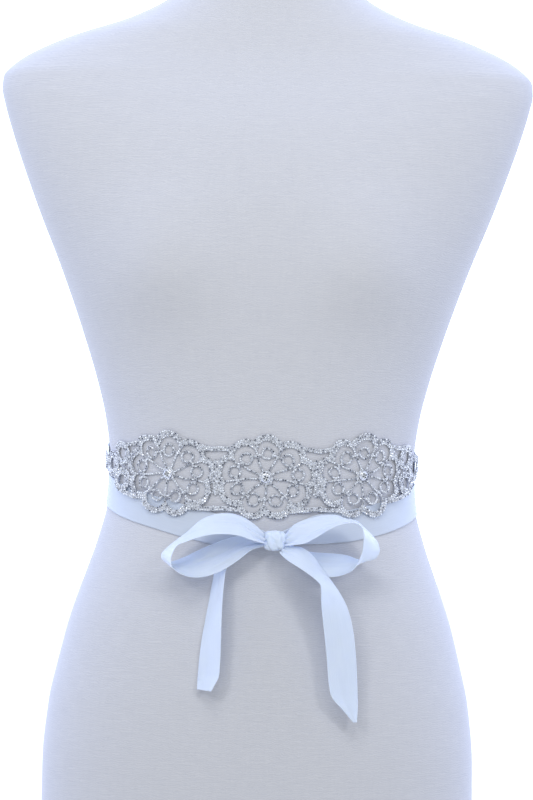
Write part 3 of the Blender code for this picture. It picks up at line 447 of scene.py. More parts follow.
def waistStretch(name, node, start, end, toward, seed):
    # the ribbon's middle line and width come from its table; it lies just off the jersey, ripples a little along its
    # length, and gathers into lengthwise pleats where it narrows towards the knot
    w = waistRibbon
    back = [(toward * girth / 2.0, w["backHeight"], w["width"], start[-1][3])]
    rows = start + back + [(row[0] + toward * girth,) + row[1:] for row in end]
    low, high = min(rows[0][0], rows[-1][0]), max(rows[0][0], rows[-1][0])
    arc = np.linspace(low, high, int((high - low) / w["stepAlong"]) + 1)
    height, width, gap = np.moveaxis(easeRows(rows, arc), -1, 0)
    slope = np.gradient(height, arc)
    lean = 1.0 / np.sqrt(1.0 + slope * slope)
    share = acrossShares(w["across"])[None, :] - 0.5
    s = arc[:, None] - share * width[:, None] * (slope * lean)[:, None]
    z = height[:, None] + share * width[:, None] * lean[:, None]
    toKnot = np.abs(arc - rows[-1][0])[:, None]
    gather = np.clip(1.0 - width[:, None] / w["width"], 0.0, 1.0) * np.clip(1.0 - toKnot / w["gatherReach"], 0.0, 1.0)
    pleats = w["pleatDepth"] * gather * np.sin(share * 2.0 * math.pi * w["pleatCount"] + 0.6 + 0.02 * toKnot)
    ripple = w["ripple"] * smoothNoise(s, z * 3.0, seed, w["rippleLength"])
    ripple = ripple + w["smallRipple"] * smoothNoise(s, z * 2.0, seed + 1, w["smallRippleLength"])
    away = w["skinGap"] + w["clothRoom"] / 2.0 + w["lift"] * gap[:, None] + pleats + ripple
    middle = onForm(s, z, away)
    along, across = clothLengths(middle)
    piece = clothWall(name, middle, w["thick"], w["selvedge"], across, along, satinLaidPaintedDarker)
    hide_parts(node)
    return piece, float(along[-1, 0])


overPiece, overLength = waistStretch(
    "waistRibbonOver", "ribbon_over", waistRibbon["overStart"], waistRibbon["overEnd"], -1, 11)
underPiece, underLength = waistStretch(
    "waistRibbonUnder", "ribbon_under", waistRibbon["underStart"], waistRibbon["underEnd"], 1, 23)
print("waist ribbon made:", round(overLength), "and", round(underLength), "mm")


# Bow. Each rib is x and z of its near edge, x and z of its far edge, y of its middle, width.
# Each crease is its place along and across as shares, its reach along and across, its slant, and its depth
bow = {
    "thick": 0.42, "selvedge": 0.10, "columns": 37, "pleatDepth": 1.5, "pleatCount": 2.3, "pleatReach": 17.0,
    "sharp": 0.22, "creaseDepth": 1.6,
    "leftLoop": {
        "rows": 230, "loop": 1.0, "camber": 0.45,
        "ribs": [
            (3.4, 234.4, 3.4, 241.4, -103.5, 9.5), (-7, 237.6, -4.5, 249, -107, 17),
            (-16.4, 241, -14.5, 255.2, -110.5, 22), (-26, 242.3, -24, 257.6, -112.5, 24),
            (-36, 242, -35, 256.6, -113.5, 24), (-46, 239.8, -45.5, 252, -113, 24),
            (-56, 236, -56.5, 241.8, -111.5, 24), (-63, 232.6, -65.5, 234.8, -109.5, 24),
            (-66.3, 227, -72.3, 228.9, -107.5, 24), (-67.6, 221.5, -75.7, 224.2, -106, 24),
            (-66.8, 216.8, -74.6, 220.3, -105, 24), (-63, 213, -69.5, 219, -104.2, 24),
            (-57, 209.8, -60, 221.8, -103.6, 24), (-48, 208.3, -49, 227.4, -103.2, 24),
            (-38, 209.8, -38.5, 232.4, -102.8, 24), (-27, 214.6, -28, 236.6, -102, 23.5),
            (-16, 222.2, -17, 239.6, -101, 20), (-6.4, 229.6, -7, 240, -99.8, 14), (3.4, 232.6, 3.4, 239, -98.8, 8.5),
        ],
        "creases": [
            (0.03, 0.28, 0.07, 0.09, 0.6, -0.9), (0.04, 0.66, 0.09, 0.1, -0.4, -1), (0.13, 0.45, 0.1, 0.12, 0.5, 0.5),
            (0.2, 0.6, 0.14, 0.22, -0.6, -1.5), (0.4, 0.4, 0.05, 0.3, 0, 0.5), (0.6, 0.55, 0.09, 0.16, -0.6, -0.6),
            (0.78, 0.62, 0.13, 0.1, 0.5, 0.8), (0.84, 0.3, 0.1, 0.09, 0.7, -0.8), (0.96, 0.45, 0.07, 0.12, 0, 0.8),
        ],
    },
    "rightLoop": {
        "rows": 240, "loop": 1.0, "camber": 0.40,
        "ribs": [
            (18.5, 233.2, 18.5, 240.4, -102.5, 9.5), (26, 234.4, 24, 248, -105.5, 17.5),
            (34, 236.4, 31.5, 252.6, -108.5, 23), (41, 240.3, 39, 255, -110.5, 24),
            (49, 245.6, 48, 257.3, -111.5, 24), (57.3, 250, 57, 257.6, -111.5, 24),
            (66, 252.2, 65.5, 254.8, -111, 24), (72.5, 251.9, 73.5, 252.9, -110, 24),
            (76.6, 248.9, 79.5, 247.6, -108.5, 24), (78, 243, 86, 241, -107, 24),
            (78, 236.5, 90.2, 235.2, -105.5, 24), (77.4, 230.5, 91.2, 229, -104, 24),
            (75.8, 225.5, 88.5, 224, -102.8, 24), (73.8, 220.8, 82, 222, -101.8, 24),
            (71, 216.6, 74.5, 223, -101.2, 24), (66.5, 213.2, 68, 225.4, -100.2, 23),
            (59, 210.6, 60, 226.8, -99.4, 22), (50, 210.1, 50, 227.4, -98.8, 21), (41, 213, 40.5, 227.9, -98.2, 19),
            (31, 220.3, 31, 229.8, -97, 15), (24, 227.6, 24, 233, -96, 10), (18.5, 231.6, 18.5, 236.6, -94.9, 6.8),
        ],
        "creases": [
            (0.03, 0.3, 0.06, 0.09, 0.4, -0.9), (0.19, 0.52, 0.19, 0.22, 0.7, -3), (0.12, 0.8, 0.1, 0.1, 0, 0.6),
            (0.46, 0.5, 0.05, 0.3, 0, 0.4), (0.72, 0.4, 0.1, 0.13, -0.5, -0.7), (0.82, 0.62, 0.1, 0.12, 0.3, 0.6),
        ],
    },
    "leftTail": {
        "rows": 170, "loop": 0.0, "camber": 0.30,
        "ribs": [
            (3.4, 233.4, 3.4, 237.4, -95, 5.5), (-5.5, 231.4, -6, 237.4, -95.2, 8.5), (-13, 227, -15, 235, -95.4, 11),
            (-19.5, 221.8, -23.5, 229.5, -95.2, 13), (-24.2, 217.5, -30.5, 222, -95.6, 13.5),
            (-26.2, 213, -34.2, 213.5, -96, 15), (-27.3, 203.5, -36.5, 203, -98.5, 19),
            (-28.2, 190, -38.8, 189, -100.5, 22), (-28.5, 174, -41.6, 173, -102, 24),
            (-28.7, 158.6, -44.1, 157.6, -103, 24), (-29.1, 145, -45.6, 144, -103.6, 24),
            (-30.3, 132.6, -46.4, 132.4, -104, 23.6), (-33, 127, -46.6, 127, -104.2, 20),
            (-35.6, 121.8, -46.6, 122, -104.4, 16),
        ],
        "creases": [
            (0.42, 0.5, 0.12, 0.2, 0.3, -0.6), (0.66, 0.35, 0.16, 0.2, -0.4, 0.5), (0.88, 0.6, 0.1, 0.22, 0, -0.4),
        ],
    },
    "rightTail": {
        "rows": 200, "loop": 0.0, "camber": 0.40,
        "ribs": [
            (14.5, 227.9, 19.2, 232.1, -104.2, 8), (18.2, 224.6, 24, 232.4, -108.5, 13),
            (22.5, 221.8, 29.6, 232.6, -112.5, 18.5), (29, 218, 36, 229.6, -116, 20.5),
            (36, 213.6, 41.5, 224.4, -117.5, 21), (42, 209.2, 46, 217.8, -118, 21),
            (45.6, 205.4, 51, 211.6, -117.5, 21.5), (46.4, 200, 56.4, 204.6, -116, 22.5),
            (46.9, 193, 61.8, 197, -113.8, 24), (47.4, 185, 66.2, 188.6, -111.5, 24),
            (48.4, 176, 69.4, 178.8, -110.2, 24), (49.8, 165, 72, 167, -109, 24), (51.3, 152.6, 73.6, 154, -108, 24),
            (52.6, 139, 74.8, 140, -107.2, 24), (53.8, 127.6, 75.5, 128, -106.6, 24),
            (55.4, 120.4, 75.9, 120.4, -106.2, 23), (64.5, 109.2, 76.1, 109.2, -105.6, 13),
            (72.6, 99.4, 75.6, 99.4, -105, 3.4),
        ],
        "creases": [
            (0.06, 0.4, 0.07, 0.14, 0.5, -0.8), (0.2, 0.6, 0.1, 0.16, 0.4, 0.6), (0.4, 0.45, 0.05, 0.35, -1, -0.9),
            (0.62, 0.55, 0.14, 0.22, 0.2, 0.4), (0.85, 0.4, 0.12, 0.2, 0, -0.35),
        ],
    },
}


def curveRows(table, at):
    # a smooth curve through the table's rows, each slope taken from the rows beside it; the first column is the place
    x, y = table[:, 0], table[:, 1:]
    return betweenRows(x, y, np.gradient(y, x, axis=0), at)


def bowBand(name, node, shape):
    # straight ribs between the two edges that the table gives, the far edge behind the near one by what the width
    # leaves; then along the surface's normal a slight camber, each crease as depth * exp(-along^2 - |across|) with its
    # bottom rounded, and pleats, a sine across, where the ribbon narrows into the knot
    ribs = np.array(shape["ribs"], float)
    shown = np.hypot(ribs[:, 2] - ribs[:, 0], ribs[:, 3] - ribs[:, 1])
    behind = np.sqrt(np.maximum(ribs[:, 5] ** 2 - shown**2, 0.0))
    near = np.stack([ribs[:, 0], ribs[:, 4] - behind / 2.0, ribs[:, 1]], axis=-1)
    far = np.stack([ribs[:, 2], ribs[:, 4] + behind / 2.0, ribs[:, 3]], axis=-1)
    step = np.linalg.norm(np.diff((near + far) / 2.0, axis=0), axis=1)
    turn = np.linalg.norm(np.diff(far - near, axis=0), axis=1)
    place = np.concatenate([[0.0], np.cumsum(step + 0.35 * turn)])
    u = np.linspace(0.0, 1.0, shape["rows"])
    both = curveRows(np.concatenate([place[:, None], near, far], axis=1), u * place[-1])
    v = acrossShares(bow["columns"])[None, :]
    middle = both[:, None, :3] * (1.0 - v[..., None]) + both[:, None, 3:] * v[..., None]
    normal = clothNormals(middle)
    if normal[:12, :, 1].mean() > 0:  # the first rows face the front
        normal = -normal
    rise = shape["camber"] * (1.0 - (2.0 * v - 1.0) ** 2) + np.zeros_like(middle[..., 0])
    for along, across, reachAlong, reachAcross, slant, depth in shape["creases"]:
        du = (u[:, None] - along) / reachAlong
        dv = (v - across - slant * (u[:, None] - along)) / reachAcross
        fold = np.exp(-du * du - np.sqrt(dv * dv + bow["sharp"] ** 2) + bow["sharp"])
        rise = rise + bow["creaseDepth"] * depth * fold
    start = np.exp(-((u * place[-1] / bow["pleatReach"]) ** 2))
    finish = np.exp(-(((1.0 - u) * place[-1] / bow["pleatReach"]) ** 2)) * shape["loop"]
    narrow = np.interp(u * place[-1], place, 1.0 - ribs[:, 5] / waistRibbon["width"])
    pleats = np.sin(2.0 * math.pi * bow["pleatCount"] * v + 0.8 + 1.5 * u[:, None]) * (1.0 - (2.0 * v - 1.0) ** 4)
    rise = rise + bow["pleatDepth"] * (narrow * (start + finish))[:, None] * pleats
    middle = middle + normal * rise[..., None]
    along, across = clothLengths(middle)
    piece = clothWall(name, middle, bow["thick"], bow["selvedge"], across, along, satin)
    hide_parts(node)
    a = np.cross(middle[1:, :-1] - middle[:-1, :-1], middle[:-1, 1:] - middle[:-1, :-1])
    b = np.cross(middle[1:, :-1] - middle[1:, 1:], middle[:-1, 1:] - middle[1:, 1:])
    area = float(np.linalg.norm(a, axis=-1).sum() + np.linalg.norm(b, axis=-1).sum()) / 2.0
    return piece, float(along[-1, 0]), area


bowPieces = {
    "leftLoop": bowBand("bowLoopLeft", "bow_loop_left", bow["leftLoop"]),
    "rightLoop": bowBand("bowLoopRight", "bow_loop_right", bow["rightLoop"]),
    "leftTail": bowBand("bowTailLeft", "bow_tail_left", bow["leftTail"]),
    "rightTail": bowBand("bowTailRight", "bow_tail_right", bow["rightTail"]),
}
for key, (piece, length, area) in bowPieces.items():
    print(key, "is", round(length), "mm long,", round(area), "square mm")


# Knot
knotShape = {"centre": (11.0, -98.0, 236.6), "half": (8.3, 8.0, 7.5), "power": 3.4, "pleats": 2.7, "slant": 1.2,
             "depth": 1.05, "trough": 0.50, "gather": 0.38, "rows": 91, "columns": 140}


def bowKnot():
    # the ribbon's one turn round the loops' ends: a rounded block about the X axis, (|x| / a)^n + (|y| / b)^n +
    # (|z| / c)^n = 1, with pleats that run round it on a slant, broad on top and narrow between, and small gathers
    k = knotShape
    lift = np.linspace(-math.pi / 2.0, math.pi / 2.0, k["rows"])[1:-1, None]
    turn = (2.0 * math.pi * np.arange(k["columns"]) / k["columns"] - math.pi)[None, :]
    way = np.stack([np.sin(lift) + 0.0 * turn, -np.cos(lift) * np.cos(turn), np.cos(lift) * np.sin(turn)], axis=-1)
    size = ((np.abs(way) / np.array(k["half"])) ** k["power"]).sum(axis=-1) ** (-1.0 / k["power"])
    phase = k["pleats"] * math.pi / 2.0 * np.sin(lift) + k["slant"] * turn + 0.35 * np.sin(2.3 * turn + 1.0)
    front = np.clip(np.cos(turn) * 1.4 + 0.55, 0.0, 1.0) * np.clip(np.cos(lift) * 1.5, 0.0, 1.0)
    fold = 0.35 - np.exp(-((np.sin(phase) / k["trough"]) ** 2))
    gathers = np.sin(5.0 * turn + 3.0 * np.sin(phase) + 4.0 * lift) * np.sin(3.0 * turn - 5.0 * lift)
    points = np.array(k["centre"]) + way * (size + front * (k["depth"] * fold + k["gather"] * gathers))[..., None]
    poles = np.array([[-1.0, 0.0, 0.0], [1.0, 0.0, 0.0]]) * k["half"][0] + np.array(k["centre"])
    uv = np.stack(np.broadcast_arrays(np.abs(turn) * 8.0, lift * 8.0), axis=-1)
    uv = np.concatenate([uv.reshape(-1, 2), [[0.0, -12.6], [0.0, 12.6]]])
    piece = makePiece("bowKnot", np.concatenate([points.reshape(-1, 3), poles]), closedFaces(*points.shape[:2]),
                      [satinKnotPaintedLighter], uv=uv)
    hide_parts("bow_knot")
    return piece


knotPiece = bowKnot()
print("bow made")


# Lace. Sizes in its even plan: x along the belt, z across it
laceShape = {
    "shift": 3.5, "pitch": 78.0, "eyelets": 9, "firstTurn": math.radians(8.0), "eyeletX": 27.0, "eyeletZ": 20.5,
    "ring": 4.3, "inward": 2.2, "strand": 1.5, "rimInner": 7.8, "rimOuter": 13.2, "hub": 6.2, "wobble": 0.45,
    "middleHeight": 284.4, "endRise": 11.5, "overRibbon": 1.50, "backing": 0.70, "narrower": 0.58,
    "grid": 0.8, "unevenness": 0.14, "planX": 172.0, "planZ": 36.0, "cut": (336.0, 67.0),
}


def scallopCentres(centreX):
    # the scallops' centres stand evenly round an ellipse about the rosette's own
    turns = laceShape["firstTurn"] + np.arange(laceShape["eyelets"]) * 2.0 * math.pi / laceShape["eyelets"]
    return np.stack([centreX + laceShape["eyeletX"] * np.cos(turns), laceShape["eyeletZ"] * np.sin(turns)], axis=-1)


def ringCentres(centreX):
    # the ring inside each scallop sits a little nearer the hub than its scallop
    around = scallopCentres(centreX)
    return around - unit(around - np.array([centreX, 0.0])) * laceShape["inward"]


def endFan(side):
    # the small fan at one end: x, z, open radius, outer radius
    edge = 1.5 * laceShape["pitch"]
    return [(side * (edge + 8.5), 10.2, 4.3, 10.0), (side * (edge + 8.0), -10.2, 4.3, 10.0),
            (side * (edge + 25.0), 0.0, 4.8, 10.6)]


def evenPlace(x, z):
    # the even plan's place for a place on the lace: two slow waves each way, because a hand has set it
    w = laceShape["wobble"]
    across = w * np.sin(0.23 * z + 0.11 * x + 0.4) + 0.45 * w * np.sin(0.41 * x - 0.30 * z + 1.0)
    up = w * np.sin(0.19 * x + 0.17 * z + 2.0) + 0.45 * w * np.sin(0.37 * z - 0.43 * x)
    return x + across, z + up


def handPlace(points):
    # the other way: the place on the lace for a place in the even plan, found in four rounds
    points = np.asarray(points, float)
    found = points.copy()
    for _ in range(4):
        found = found + points - np.stack(evenPlace(found[:, 0], found[:, 1]), axis=-1)
    return found


def laceStrands():
    # rings as (x, z, radius) and straights as (x, z, x, z), each with its half width
    l = laceShape
    made = []
    for k in (-1, 0, 1):
        cx = k * l["pitch"]
        around = ringCentres(cx)
        made.append(("disc", (cx, 0.0, 0.0), l["hub"]))
        for i, (x, z) in enumerate(around):
            made.append(("ring", (x, z, l["ring"]), l["strand"]))
            turn = l["firstTurn"] + (i + 0.5) * 2.0 * math.pi / l["eyelets"]
            end = (cx + (l["eyeletX"] + 4.2) * math.cos(turn), (l["eyeletZ"] + 3.6) * math.sin(turn))
            made.append(("line", (cx, 0.0) + end, l["strand"] - 0.2))
            after = around[(i + 1) % l["eyelets"]]
            reach = (after - (x, z)) / np.linalg.norm(after - (x, z)) * l["ring"]
            made.append(("line", (x + reach[0], z + reach[1], after[0] - reach[0], after[1] - reach[1]), l["strand"]))
    for side in (-1, 1):
        mid, edge = side * l["pitch"] / 2.0, side * 1.5 * l["pitch"]
        made += [
            ("line", (mid, 10.5, mid + 0.6, -12.5), 3.0),
            ("line", (mid - 13.0, 22.0, mid, 20.6), 2.5), ("line", (mid, 20.6, mid + 13.0, 22.0), 2.5),
            ("line", (mid - 20.0, -25.6, mid, -24.6), 2.5), ("line", (mid, -24.6, mid + 20.0, -25.6), 2.5),
            ("line", (edge - side * 10.0, 20.6, edge + side * 8.0, 18.2), 2.3),
            ("line", (edge - side * 11.0, -21.2, edge + side * 8.0, -18.2), 2.3),
            ("ring", (edge + side * 42.0, 0.0, 5.9), 2.0),
        ]
    return made


strandTable = laceStrands()


def rimDistance(x, z, circles, inner):
    # distance to the band between the outline of overlapping circles and the outline of their openings, where each
    # outline is the least of the distances to its circles
    outer = np.full(np.shape(x), 1e3)
    for cx, cz, opening, reach in circles:
        d = np.hypot(x - cx, z - cz)
        outer, inner = np.minimum(outer, d - reach), np.minimum(inner, d - opening)
    return np.maximum(outer, -inner)


def strandDistance(x, z):
    # signed distance to the nearest strand or scalloped rim, negative inside it
    l = laceShape
    x, z = evenPlace(x, z)
    best = np.full(np.shape(x), 1e3)
    for kind, v, half in strandTable:
        if kind == "line":
            length = (v[2] - v[0]) ** 2 + (v[3] - v[1]) ** 2
            t = np.clip(((x - v[0]) * (v[2] - v[0]) + (z - v[1]) * (v[3] - v[1])) / length, 0.0, 1.0)
            d = np.hypot(x - v[0] - t * (v[2] - v[0]), z - v[1] - t * (v[3] - v[1])) - half
        else:
            d = np.abs(np.hypot(x - v[0], z - v[1]) - v[2]) - half
        best = np.minimum(best, d)
    for k in (-1, 0, 1):
        cx = k * l["pitch"]
        inner = (np.hypot((x - cx) / l["eyeletX"], z / l["eyeletZ"]) - 1.0) * l["eyeletZ"]
        scallops = [(ex, ez, l["rimInner"], l["rimOuter"]) for ex, ez in scallopCentres(cx)]
        best = np.minimum(best, rimDistance(x, z, scallops, inner))
    for side in (-1, 1):
        best = np.minimum(best, rimDistance(x, z, endFan(side), np.full(np.shape(x), 1e3)))
    return best


def overRibbon(arc, z):
    # 1 where a ribbon passes behind the lace and 0 clear of it, with a soft step between
    left, right = easeRows(waistRibbon["underEnd"], arc), easeRows(waistRibbon["overEnd"], arc)
    middle = np.where(arc < 10.0, left[..., 0], right[..., 0])
    half = np.where(arc < 10.0, left[..., 1], right[..., 1]) / 2.0
    near = np.clip(1.0 - (np.abs(z - middle) - half - 4.5) / 9.0, 0.0, 1.0)
    near = np.maximum(near, np.clip((np.abs(arc) - 143.0) / 8.0, 0.0, 1.0))
    return near * near * (3.0 - 2.0 * near)


def onLace(x, z, high):
    # the lace's plan laid on the form: its middle line rises towards the ends, and it steps over the ribbon behind it
    l = laceShape
    arc = x + l["shift"]
    height = l["middleHeight"] + l["endRise"] * (np.abs(x) / 165.0) ** 2.6 + z
    uneven = l["unevenness"] * (1.0 + smoothNoise(x, z, 5, 21.0))
    return onForm(arc, height, waistRibbon["skinGap"] + l["overRibbon"] * overRibbon(arc, height) + uneven + high)


def laceBacking():
    # a square grid over the plan, kept where its cells lie on a strand, with rim points slid onto the outline,
    # then a wall: flat below, domed a little above
    l = laceShape
    spans = [np.arange(-reach, reach + 0.01, l["grid"]) for reach in (l["planX"], l["planZ"])]
    x, z = np.meshgrid(*spans, indexing="ij")
    middle = strandDistance(x[:-1, :-1] + l["grid"] / 2.0, z[:-1, :-1] + l["grid"] / 2.0)
    cells = gridFaces(*x.shape).reshape(x.shape[0] - 1, x.shape[1] - 1, 4)[middle < 0.05 - l["narrower"]][:, ::-1]
    used, cells = np.unique(cells, return_inverse=True)
    cells = cells.reshape(-1, 4)
    x, z = x.ravel()[used], z.ravel()[used]
    edges = np.stack([cells, np.roll(cells, -1, axis=1)], axis=-1).reshape(-1, 2)
    forward = edges[:, 0] * len(used) + edges[:, 1]
    backward = edges[:, 1] * len(used) + edges[:, 0]
    rim = edges[~np.isin(forward, backward)]
    onRim = np.zeros(len(used), bool)
    onRim[rim.ravel()] = True
    for _ in range(3):
        gx = (strandDistance(x + 0.05, z) - strandDistance(x - 0.05, z)) / 0.1
        gz = (strandDistance(x, z + 0.05) - strandDistance(x, z - 0.05)) / 0.1
        now = strandDistance(x, z) + 0.12 + l["narrower"]
        size = np.maximum(gx * gx + gz * gz, 0.25)
        slide = np.where(onRim, np.clip(now / size, -0.4, 0.4), 0.0)
        x, z = x - slide * gx, z - slide * gz
    deep = np.clip(-strandDistance(x, z) / 1.2, 0.0, 1.0)
    top = onLace(x, z, l["backing"] * (0.45 + 0.55 * np.sqrt(deep)))
    under = onLace(x, z, 0.0)
    n = len(used)
    walls = np.stack([rim[:, 1], rim[:, 0], rim[:, 0] + n, rim[:, 1] + n], axis=-1)
    faces = np.concatenate([cells, cells[:, ::-1] + n, walls])
    piece = makePiece("laceBacking", np.concatenate([top, under]), [faces], [net])
    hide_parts("rhinestone_applique")
    a = x[cells] * np.roll(z[cells], -1, axis=1) - np.roll(x[cells], -1, axis=1) * z[cells]
    return piece, abs(float(a.sum())) / 2.0


laceBack, laceArea = laceBacking()
print("lace backing made:", round(laceArea), "square mm")


# Stones
stoneShape = {
    "radius": 0.82, "spacing": 1.86, "smallRadius": 0.56, "smallGap": 0.06, "inset": 0.60, "seat": 0.46,
    "tilt": math.radians(16.0), "sides": 6, "crystalRoom": 3.8, "hubRow": 4.6, "edgeRow": 0.78,
    "doubleRow": 0.94, "closer": 0.14, "fillGrid": 0.4, "most": 12000,
    # the next four entries spread the painted reflections: whole stones dark or bright, the lighter side of the crown,
    # each facet, and the table's shift and spread
    "paintedDarkOrBright": (0.42, 0.26), "paintedSideShade": 0.34, "paintedFacetShade": 0.15, "paintedTableReflection": (0.05, 0.30),
    "rings": [(0.84, 0.0, 0.0), (1.0, 0.34, 0.0), (0.93, 0.44, 0.0), (0.74, 0.82, 0.5), (0.40, 1.10, 0.0)],
}


def rowPlaces():
    # where a setter would put each row: round every ring and hub, along every straight in one row or two, three along
    # every scalloped rim and two along every rim of the end fans
    l, s = laceShape, stoneShape
    rows = []

    def circle(x, z, r, first):
        count = int(2.0 * math.pi * r / s["spacing"])
        t = np.arange(count) * 2.0 * math.pi / count + first
        rows.append(np.stack([x + r * np.cos(t), z + r * np.sin(t)], axis=-1))

    for kind, v, half in strandTable:
        if kind == "disc":
            circle(v[0], v[1], s["hubRow"], 0.2)
        elif kind == "ring":
            circle(v[0], v[1], v[2], 0.4)
        else:
            a, b = np.array(v[:2]), np.array(v[2:])
            length = np.linalg.norm(b - a)
            aside = np.array([a[1] - b[1], b[0] - a[0]]) / length
            t = (np.arange(int(length / s["spacing"])) + 0.5) * s["spacing"] / length
            for off in ((-s["doubleRow"], s["doubleRow"]) if half > 1.9 else (0.0,)):
                rows.append(a + t[:, None] * (b - a) + aside * off)
    for k in (-1, 0, 1):
        for ex, ez in scallopCentres(k * l["pitch"]):
            circle(ex, ez, l["rimOuter"] - s["edgeRow"], 0.0)
            circle(ex, ez, l["rimInner"] + s["edgeRow"], 0.13)
            circle(ex, ez, (l["rimOuter"] + l["rimInner"]) / 2.0, 0.07)
    for side in (-1, 1):
        for ex, ez, opening, reach in endFan(side):
            circle(ex, ez, reach - s["edgeRow"], 0.0)
            circle(ex, ez, opening + s["edgeRow"], 0.3)
    return handPlace(np.concatenate(rows))


def setStones():
    # the rows first, then stones wherever one more fits: each keeps its spacing from those set before it
    s = stoneShape
    gx, gz = np.meshgrid(np.arange(-170.0, 170.0, s["fillGrid"]), np.arange(-36.0, 36.0, s["fillGrid"]), indexing="ij")
    fill = np.stack([gx.ravel(), gz.ravel()], axis=-1)
    hubs = handPlace([(k * laceShape["pitch"], 0.0) for k in (-1, 0, 1)])
    kept = np.empty((s["most"], 2))
    radius = np.empty(s["most"])
    count = 0
    apart, apartSmall = s["spacing"] - s["closer"], s["radius"] + s["smallRadius"] + s["smallGap"]
    for places, size, reach in ((rowPlaces(), s["radius"], apart), (fill, s["radius"], apart),
                                (fill, s["smallRadius"], apartSmall)):
        depth = strandDistance(places[:, 0], places[:, 1])
        hub = np.min([np.hypot(places[:, 0] - x, places[:, 1] - z) for x, z in hubs], axis=0)
        room = s["crystalRoom"] + size - s["radius"]
        for p in places[(depth < size - s["radius"] - s["inset"]) & (hub > room)]:
            gap = kept[:count] - p
            if count == 0 or (gap * gap).sum(axis=1).min() > reach * reach:
                kept[count], radius[count] = p, size
                count += 1
    return kept[:count], radius[:count]


def seatFrames(x, z, high):
    # a seat on the lace with its right, up and outward directions
    seat = onLace(x, z, high)
    right = onLace(x + 0.5, z, high) - onLace(x - 0.5, z, high)
    up = onLace(x, z + 0.5, high) - onLace(x, z - 0.5, high)
    out, right = unit(np.cross(right, up)), unit(right)
    return seat, right, np.cross(out, right), out


def stoneField(name, places, radius, seed):
    # one cup with its stone is five rings of six points, radius share and height share of the stone; all copies are
    # worked out as one array, each turned about its own normal and tipped a little, so that no two facets match
    s = stoneShape
    n, rings = s["sides"], s["rings"]
    rng = np.random.default_rng(seed)
    t = np.concatenate([(np.arange(n) + turn) * 2.0 * math.pi / n for _, _, turn in rings])
    r = np.repeat([ring[0] for ring in rings], n)
    h = np.repeat([ring[1] for ring in rings], n)
    j = np.arange(n)
    k = (j + 1) % n
    quads = gridFaces(3, n, wrap=True)
    crown = np.concatenate([
        np.stack([2 * n + j, 2 * n + k, 3 * n + j], axis=-1), np.stack([2 * n + k, 3 * n + k, 3 * n + j], axis=-1),
        np.stack([3 * n + j, 4 * n + k, 4 * n + j], axis=-1), np.stack([3 * n + j, 3 * n + k, 4 * n + k], axis=-1),
    ])
    table = np.stack([np.full(n - 2, 4 * n), 4 * n + j[1:-1], 4 * n + j[2:]], axis=-1)
    bottom = np.stack([np.zeros(n - 2, int), j[2:], j[1:-1]], axis=-1)
    x, z = places[:, 0], places[:, 1]
    deep = np.clip(-strandDistance(x, z) / 1.2, 0.0, 1.0)
    seat, right, up, out = seatFrames(x, z, s["seat"] + 0.12 * deep)
    lean = rng.uniform(0.0, 2.0 * math.pi, len(x))
    tilt = np.abs(rng.normal(0.0, s["tilt"] / 1.5, len(x))).clip(0.0, s["tilt"] * 1.4)
    out = unit(out + np.tan(tilt)[:, None] * (np.cos(lean)[:, None] * right + np.sin(lean)[:, None] * up))
    up = unit(np.cross(out, right))
    right = np.cross(up, out)
    size = (radius * rng.uniform(0.94, 1.03, len(x)))[:, None]
    spin = rng.uniform(0.0, 2.0 * math.pi, len(x))[:, None] + t[None, :]
    points = seat[:, None, :] + (r * size)[..., None] * (
        np.cos(spin)[..., None] * right[:, None, :] + np.sin(spin)[..., None] * up[:, None, :])
    points = points + (h * size)[..., None] * out[:, None, :]
    shift = (np.arange(len(x)) * len(rings) * n)[:, None, None]
    quads = (quads[None] + shift).reshape(-1, 4)
    threes = np.concatenate([crown, table, bottom])
    # painted reflection: each stone is painted dark or bright as a whole, the side of its crown towards a random
    # direction painted lighter, each facet varied a little, and its table near the stone's own shade
    facing = np.tile(np.concatenate([j + 0.5, j + 1.0]), 2) * 2.0 * math.pi / n
    paintedLitSide = rng.uniform(0.0, 2.0 * math.pi, (len(x), 1))
    paintedStoneShade = rng.beta(*s["paintedDarkOrBright"], (len(x), 1))
    paintedCrownReflection = paintedStoneShade + s["paintedSideShade"] * np.cos(facing[None, :] - paintedLitSide)
    paintedCrownReflection = paintedCrownReflection + rng.normal(0.0, s["paintedFacetShade"], (len(x), 4 * n))
    paintedTableReflection = np.repeat(paintedStoneShade + rng.normal(*s["paintedTableReflection"], (len(x), 1)), n - 2, axis=1)
    paintedReflectionShades = np.concatenate([paintedCrownReflection, paintedTableReflection, np.full((len(x), n - 2), 0.5)], axis=1).clip(0.0, 1.0)
    paintedReflection = np.concatenate([np.full(len(quads), 0.5), paintedReflectionShades.ravel()])
    threes = (threes[None] + shift).reshape(-1, 3)
    threeSlots = np.tile(np.concatenate([np.zeros(4 * n + n - 2), np.ones(n - 2)]), len(x))
    return makePiece(name, points.reshape(-1, 3), [quads, threes], [stoneGlass, cupSilver],
                     slots=np.concatenate([np.ones(len(quads)), threeSlots]), smooth=False, paintedReflection=paintedReflection)


places, radii = setStones()
print("stones set:", len(places))
for name, low, high, seed in (("stonesLeft", -999.0, -58.0, 3), ("stonesLeftMiddle", -58.0, -20.0, 4),
                              ("stonesMiddle", -20.0, 20.0, 5), ("stonesRightMiddle", 20.0, 58.0, 6),
                              ("stonesRight", 58.0, 999.0, 7)):
    here = (places[:, 0] >= low) & (places[:, 0] < high)
    piece = stoneField(name, places[here], radii[here], seed)


# Centre crystals
crystalShape = {
    "radius": 3.1, "tall": 0.72, "sides": 16, "seat": 0.95,
    "rings": [(1.0, 0.0, 0.0), (1.12, 0.0, 0.0), (1.14, 0.42, 0.0), (1.0, 0.50, 0.0), (0.97, 0.56, 0.0),
              (0.86, 0.82, 0.5), (0.66, 1.06, 0.0)],
}


